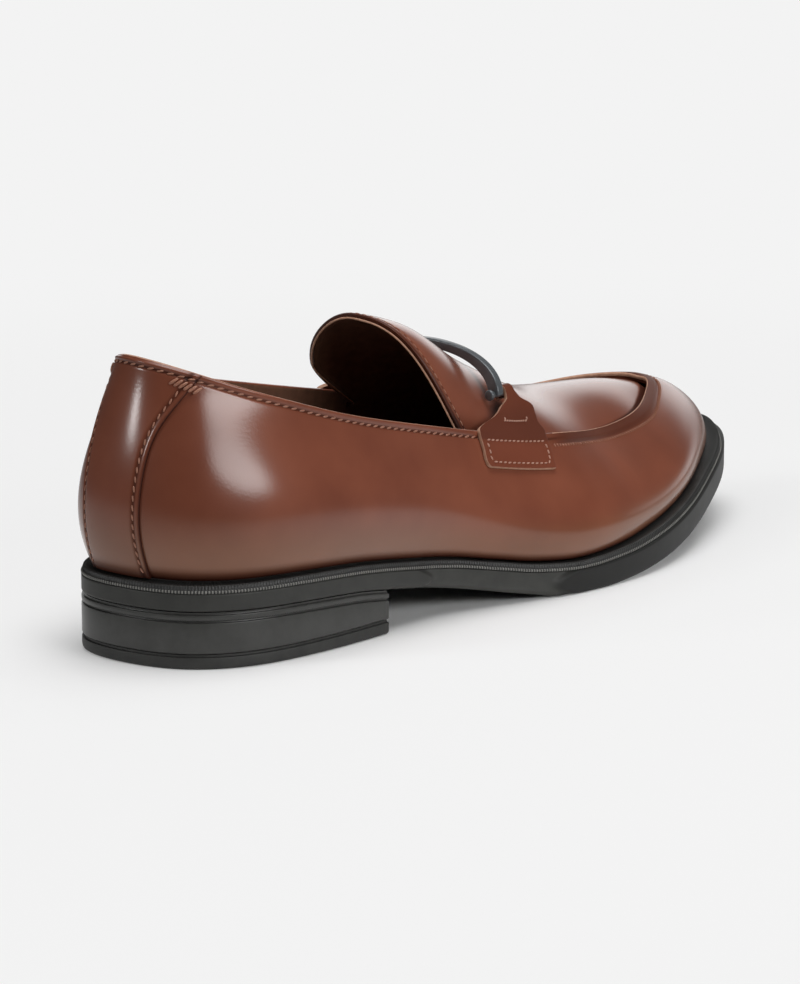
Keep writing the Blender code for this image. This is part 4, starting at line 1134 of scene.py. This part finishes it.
def sew(name, runs, material):
    """Stitches as one mesh: each is a plump grain of thread laid along its run.
    A run is (points, normals, pitch, length, thickness, slant)."""
    bpy.ops.object.select_all(action="DESELECT")
    bpy.ops.mesh.primitive_uv_sphere_add(segments=8, ring_count=6, radius=1)
    piece = bpy.context.object
    piece.name = piece.data.name = name
    seed = np.array([v.co[:] for v in piece.data.vertices])[:, [2, 0, 1]]
    seed[:, 0] = np.sign(seed[:, 0]) * np.abs(seed[:, 0]) ** 0.7
    faces = [list(p.vertices) for p in piece.data.polygons]
    points, polygons = [], []
    for path, normals, pitch, length, thick, slant in runs:
        centre, ahead, share = along_path(path, pitch)
        pick = np.clip((share * (len(path) - 1)).round().astype(int), 0, len(path) - 1)
        up = unit(normals[pick])
        side = unit(np.cross(up, ahead))
        ahead = unit(ahead * math.cos(slant) + side * math.sin(slant))
        side = unit(np.cross(up, ahead))
        for k in range(len(centre)):
            start = len(points) * len(seed)
            points.append(centre[k] + seed[:, :1] * ahead[k] * length / 2
                          + seed[:, 1:2] * side[k] * thick / 2 + seed[:, 2:3] * up[k] * thick / 2)
            polygons += [[start + v for v in f] for f in faces]
    old = piece.data
    piece.data = bpy.data.meshes.new(name)
    bpy.data.meshes.remove(old)
    piece.data.from_pydata([tuple(p) for p in placed(np.concatenate(points))], [], polygons)
    piece.data.name = name
    finish(piece, (material,))


def wall_run(rings, down, lift):
    """A run of thread on the wall, a distance below its top edge."""
    rise = 1 - down / top_pace(rings)
    return skin(rings, rise, wall_lift(rings, rise) + lift), wall_normal(rings, rise)


def make_seam_stitches():
    """Rows along the collar, under the ridge and up both edges of the backstay."""
    throat = float(np.interp(COLLAR_ROW_END, FINE_STATION, FINE_RING))
    rings = np.linspace(-throat, throat, 1500)
    reach, _ = backstay_place(np.array([0.97, 0.97]), np.array([0.0, 1.0]))
    over = ramp(rings, reach[0], reach[0] + RING_STEP) * ramp(rings, reach[1], reach[1] - RING_STEP)
    collar = wall_run(rings, COLLAR_SEAM, 0.12 + BACKSTAY_PROUD * over)
    front = float(np.interp(RIDGE_ROW_START, FINE_STATION, FINE_RING))
    ridge = wall_run(np.linspace(front, 2 - front, 1500), RIDGE_BAND + 0.9, 0.2)
    runs = [(*collar, *COLLAR_STITCH), (*ridge, *RIDGE_STITCH)]
    rise = np.linspace(0.03, 0.9, 300)
    _, wide = backstay_place(rise, np.zeros_like(rise))
    *size, slant = BACKSTAY_STITCH
    for share, way in ((BACKSTAY_SEAM / wide, -1), (1 - BACKSTAY_SEAM / wide, 1)):
        place, _ = backstay_place(rise, share)
        runs.append((skin(place, rise, 0.72), wall_normal(place, rise), *size, slant * way))
    sew("seam_stitches", runs, THREAD)


def make_bar_tacks():
    """Bars that lock the ends of the backstay's seams under the collar."""
    rise = np.linspace(0.935, 0.915, 40)
    runs = []
    for start, end in BAR_TACK_RUNS:
        place = np.linspace(start, end, len(rise)) / heel_pace(rise)
        path = skin(place, rise, BACKSTAY_PROUD + 0.15)
        runs.append((path, wall_normal(place, rise), *BAR_TACK))
    sew("bar_tacks", runs, THREAD)


def make_tongue_stitches():
    """The row that holds the tongue's turned end."""
    shares = np.linspace(-0.985, 0.9, 200)
    places = 1 - TONGUE_SEAM / (THROAT - tongue_end(shares))
    rows = np.array([instep(shares, places + step) for step in (-0.01, 0, 0.01)])
    normals = grid_normals(rows)[1]
    normals *= np.sign(normals[len(shares) // 2, 2])
    run = (rows[1] - normals * 0.08, normals, *TONGUE_STITCH)
    sew("tongue_stitches", [run], THREAD)


def make_tab_stitches():
    """The seams of both tabs, laid on their outer faces."""
    ups = np.linspace(0, 1.7, 120)
    shares = np.linspace(-1, 1, 81)
    runs = []
    for side, sign in SIDES:
        grid = tab_grid(side, ups, shares)
        normals = grid_normals(grid)
        normals *= np.sign(normals[:, :, 1:2] * sign + 1e-9)
        face = grid + normals * (TAB_WALL / 2 + 0.05)
        for corners, count, stitch in TAB_SEAMS:
            steps = np.linspace(0, len(corners) - 1, count)
            up, across = (np.interp(steps, range(len(corners)), ends) for ends in zip(*corners))
            row = np.clip(up / ups[-1] * (len(ups) - 1), 0, len(ups) - 1.001)
            column = np.clip((across + 1) / 2 * (len(shares) - 1), 0, len(shares) - 1.001)
            i, j = row.astype(int), column.astype(int)
            u, v = (row - i)[:, None], (column - j)[:, None]
            path = (face[i, j] * (1 - v) + face[i, j + 1] * v) * (1 - u)
            path += (face[i + 1, j] * (1 - v) + face[i + 1, j + 1] * v) * u
            runs.append((path, normals[i, j], *stitch))
    sew("tab_stitches", runs, PALE_THREAD)


# Studio


def facing(place, right, up, back):
    """World matrix of a lamp or camera at a place, with its back turned a given way."""
    return Matrix(np.vstack([np.column_stack([right, up, back, place]), (0, 0, 0, 1)]).tolist())


def make_floor():
    """Matt white paper: shaded by the shoe where it stands, evenly bright round about, and lost
    in the dark room further off, as the shine of the leather shows it."""
    bpy.ops.object.select_all(action="DESELECT")
    bpy.ops.mesh.primitive_circle_add(vertices=96, radius=1.0, fill_type="NGON", location=(0, 0, 0))
    floor = bpy.context.object
    floor.name = floor.data.name = "studio_floor"
    material, tree, shader = new_material("white_paper_floor", {
        "Base Color": linear("#efefef"), "Roughness": 0.9, "Specular IOR Level": 0.1})
    place = node(tree, "ShaderNodeTexCoord").outputs["Object"]
    foot = node(tree, "ShaderNodeVectorMath", {1: (1 / SHADE_LONG, 1 / SHADE_WIDE, 0.0)}, {0: place},
                operation="MULTIPLY")
    under = node(tree, "ShaderNodeVectorMath", links={0: foot.outputs["Vector"]}, operation="LENGTH")
    near = node(tree, "ShaderNodeMapRange",
                {"From Min": 0.7, "From Max": 1.6, "To Min": 0.0, "To Max": 0.8},
                {"Value": under.outputs["Value"]}, interpolation_type="SMOOTHSTEP")
    far = node(tree, "ShaderNodeVectorMath", links={0: place}, operation="LENGTH").outputs["Value"]
    blend = node(tree, "ShaderNodeMapRange", {"From Min": 0.2, "From Max": 0.6},
                 {"Value": far, "To Min": near.outputs["Result"]}, interpolation_type="SMOOTHSTEP")
    dim = node(tree, "ShaderNodeMapRange",
               {"From Min": 0.05, "From Max": 0.6, "To Min": 1.0, "To Max": 0.1},
               {"Value": far}, interpolation_type="SMOOTHSTEP")
    seen = node(tree, "ShaderNodeLightPath").outputs["Is Camera Ray"]
    power = node(tree, "ShaderNodeMath", links={0: seen, 1: dim.outputs["Result"]}, operation="MAXIMUM")
    glow = node(tree, "ShaderNodeEmission", {"Color": linear(BACKDROP)},
                {"Strength": power.outputs["Value"]})
    mix = node(tree, "ShaderNodeMixShader",
               links={0: blend.outputs["Result"], 1: shader.outputs[0], 2: glow.outputs[0]})
    tree.links.new(mix.outputs[0], tree.nodes["Material Output"].inputs["Surface"])
    floor.data.materials.append(material)


def make_backdrop():
    """A pale backdrop for the eye, and a weak even fill on the shoe."""
    world = bpy.data.worlds.new("studio")
    bpy.context.scene.world = world
    world.use_nodes = True
    tree = world.node_tree
    tree.nodes.clear()
    seen = node(tree, "ShaderNodeLightPath").outputs["Is Camera Ray"]
    pale = node(tree, "ShaderNodeBackground", {"Color": linear(BACKDROP), "Strength": 1.0})
    fill = node(tree, "ShaderNodeBackground", {"Color": linear("#ffffff"), "Strength": 0.04})
    mix = node(tree, "ShaderNodeMixShader", links={0: seen, 1: fill.outputs[0], 2: pale.outputs[0]})
    node(tree, "ShaderNodeOutputWorld", links={"Surface": mix.outputs[0]})


def make_soft_box(name, azimuth, elevation, distance, wide, high, watts, roll, bright):
    """A lamp behind cloth, full in the middle of its face and fading out towards its rim."""
    a, e, turn = (math.radians(angle) for angle in (azimuth, elevation, roll))
    way = np.array([math.sin(a) * math.cos(e), -math.cos(a) * math.cos(e), math.sin(e)])
    right = np.array([math.cos(a), math.sin(a), 0.0])
    up = np.cross(way, right)
    light = bpy.data.lights.new(name, "AREA")
    light.shape = "RECTANGLE"
    light.size, light.size_y = wide, high
    light.energy = watts
    light.use_nodes = True
    tree = light.node_tree
    spot = node(tree, "ShaderNodeNewGeometry").outputs["Parametric"]
    off = node(tree, "ShaderNodeVectorMath", {1: (-0.5, -0.5, 0.0)}, {0: spot})
    far = node(tree, "ShaderNodeVectorMath", links={0: off.outputs["Vector"]}, operation="LENGTH")
    fall = node(tree, "ShaderNodeMapRange",
                {"From Min": bright, "From Max": 0.5, "To Min": 1.0, "To Max": 0.0},
                {"Value": far.outputs["Value"]}, interpolation_type="SMOOTHSTEP")
    tree.links.new(fall.outputs["Result"], tree.nodes["Emission"].inputs["Strength"])
    lamp = bpy.data.objects.new(name, light)
    bpy.context.scene.collection.objects.link(lamp)
    lamp.matrix_world = facing(
        np.array(LAMP_AIM) + way * distance, right * math.cos(turn) + up * math.sin(turn),
        up * math.cos(turn) - right * math.sin(turn), way)


def make_camera():
    """The camera stands where the photograph's stood, turned to bring the shoe to the middle."""
    back = unit(np.subtract(CAMERA_PLACE, CAMERA_AIM))
    right = unit(np.cross([0.0, 0.0, 1.0], back))
    camera = bpy.data.cameras.new("photo_camera")
    camera.lens = CAMERA_LENS
    camera.sensor_width = 36
    camera.clip_end = 50
    eye = bpy.data.objects.new("photo_camera", camera)
    bpy.context.scene.collection.objects.link(eye)
    eye.matrix_world = facing(CAMERA_PLACE, right, np.cross(back, right), back)
    bpy.context.scene.camera = eye
    bpy.context.scene.view_settings.view_transform = "Standard"


make_upper()
make_plug_and_tongue()
make_backstay()
make_insole()
make_welt()
make_outsole()
make_heel()
make_tab("lateral")
make_tab("medial")
make_bit()
make_seam_stitches()
make_bar_tacks()
make_tongue_stitches()
make_tab_stitches()
make_floor()
make_backdrop()
for box in SOFT_BOXES:
    make_soft_box(*box)
make_camera()
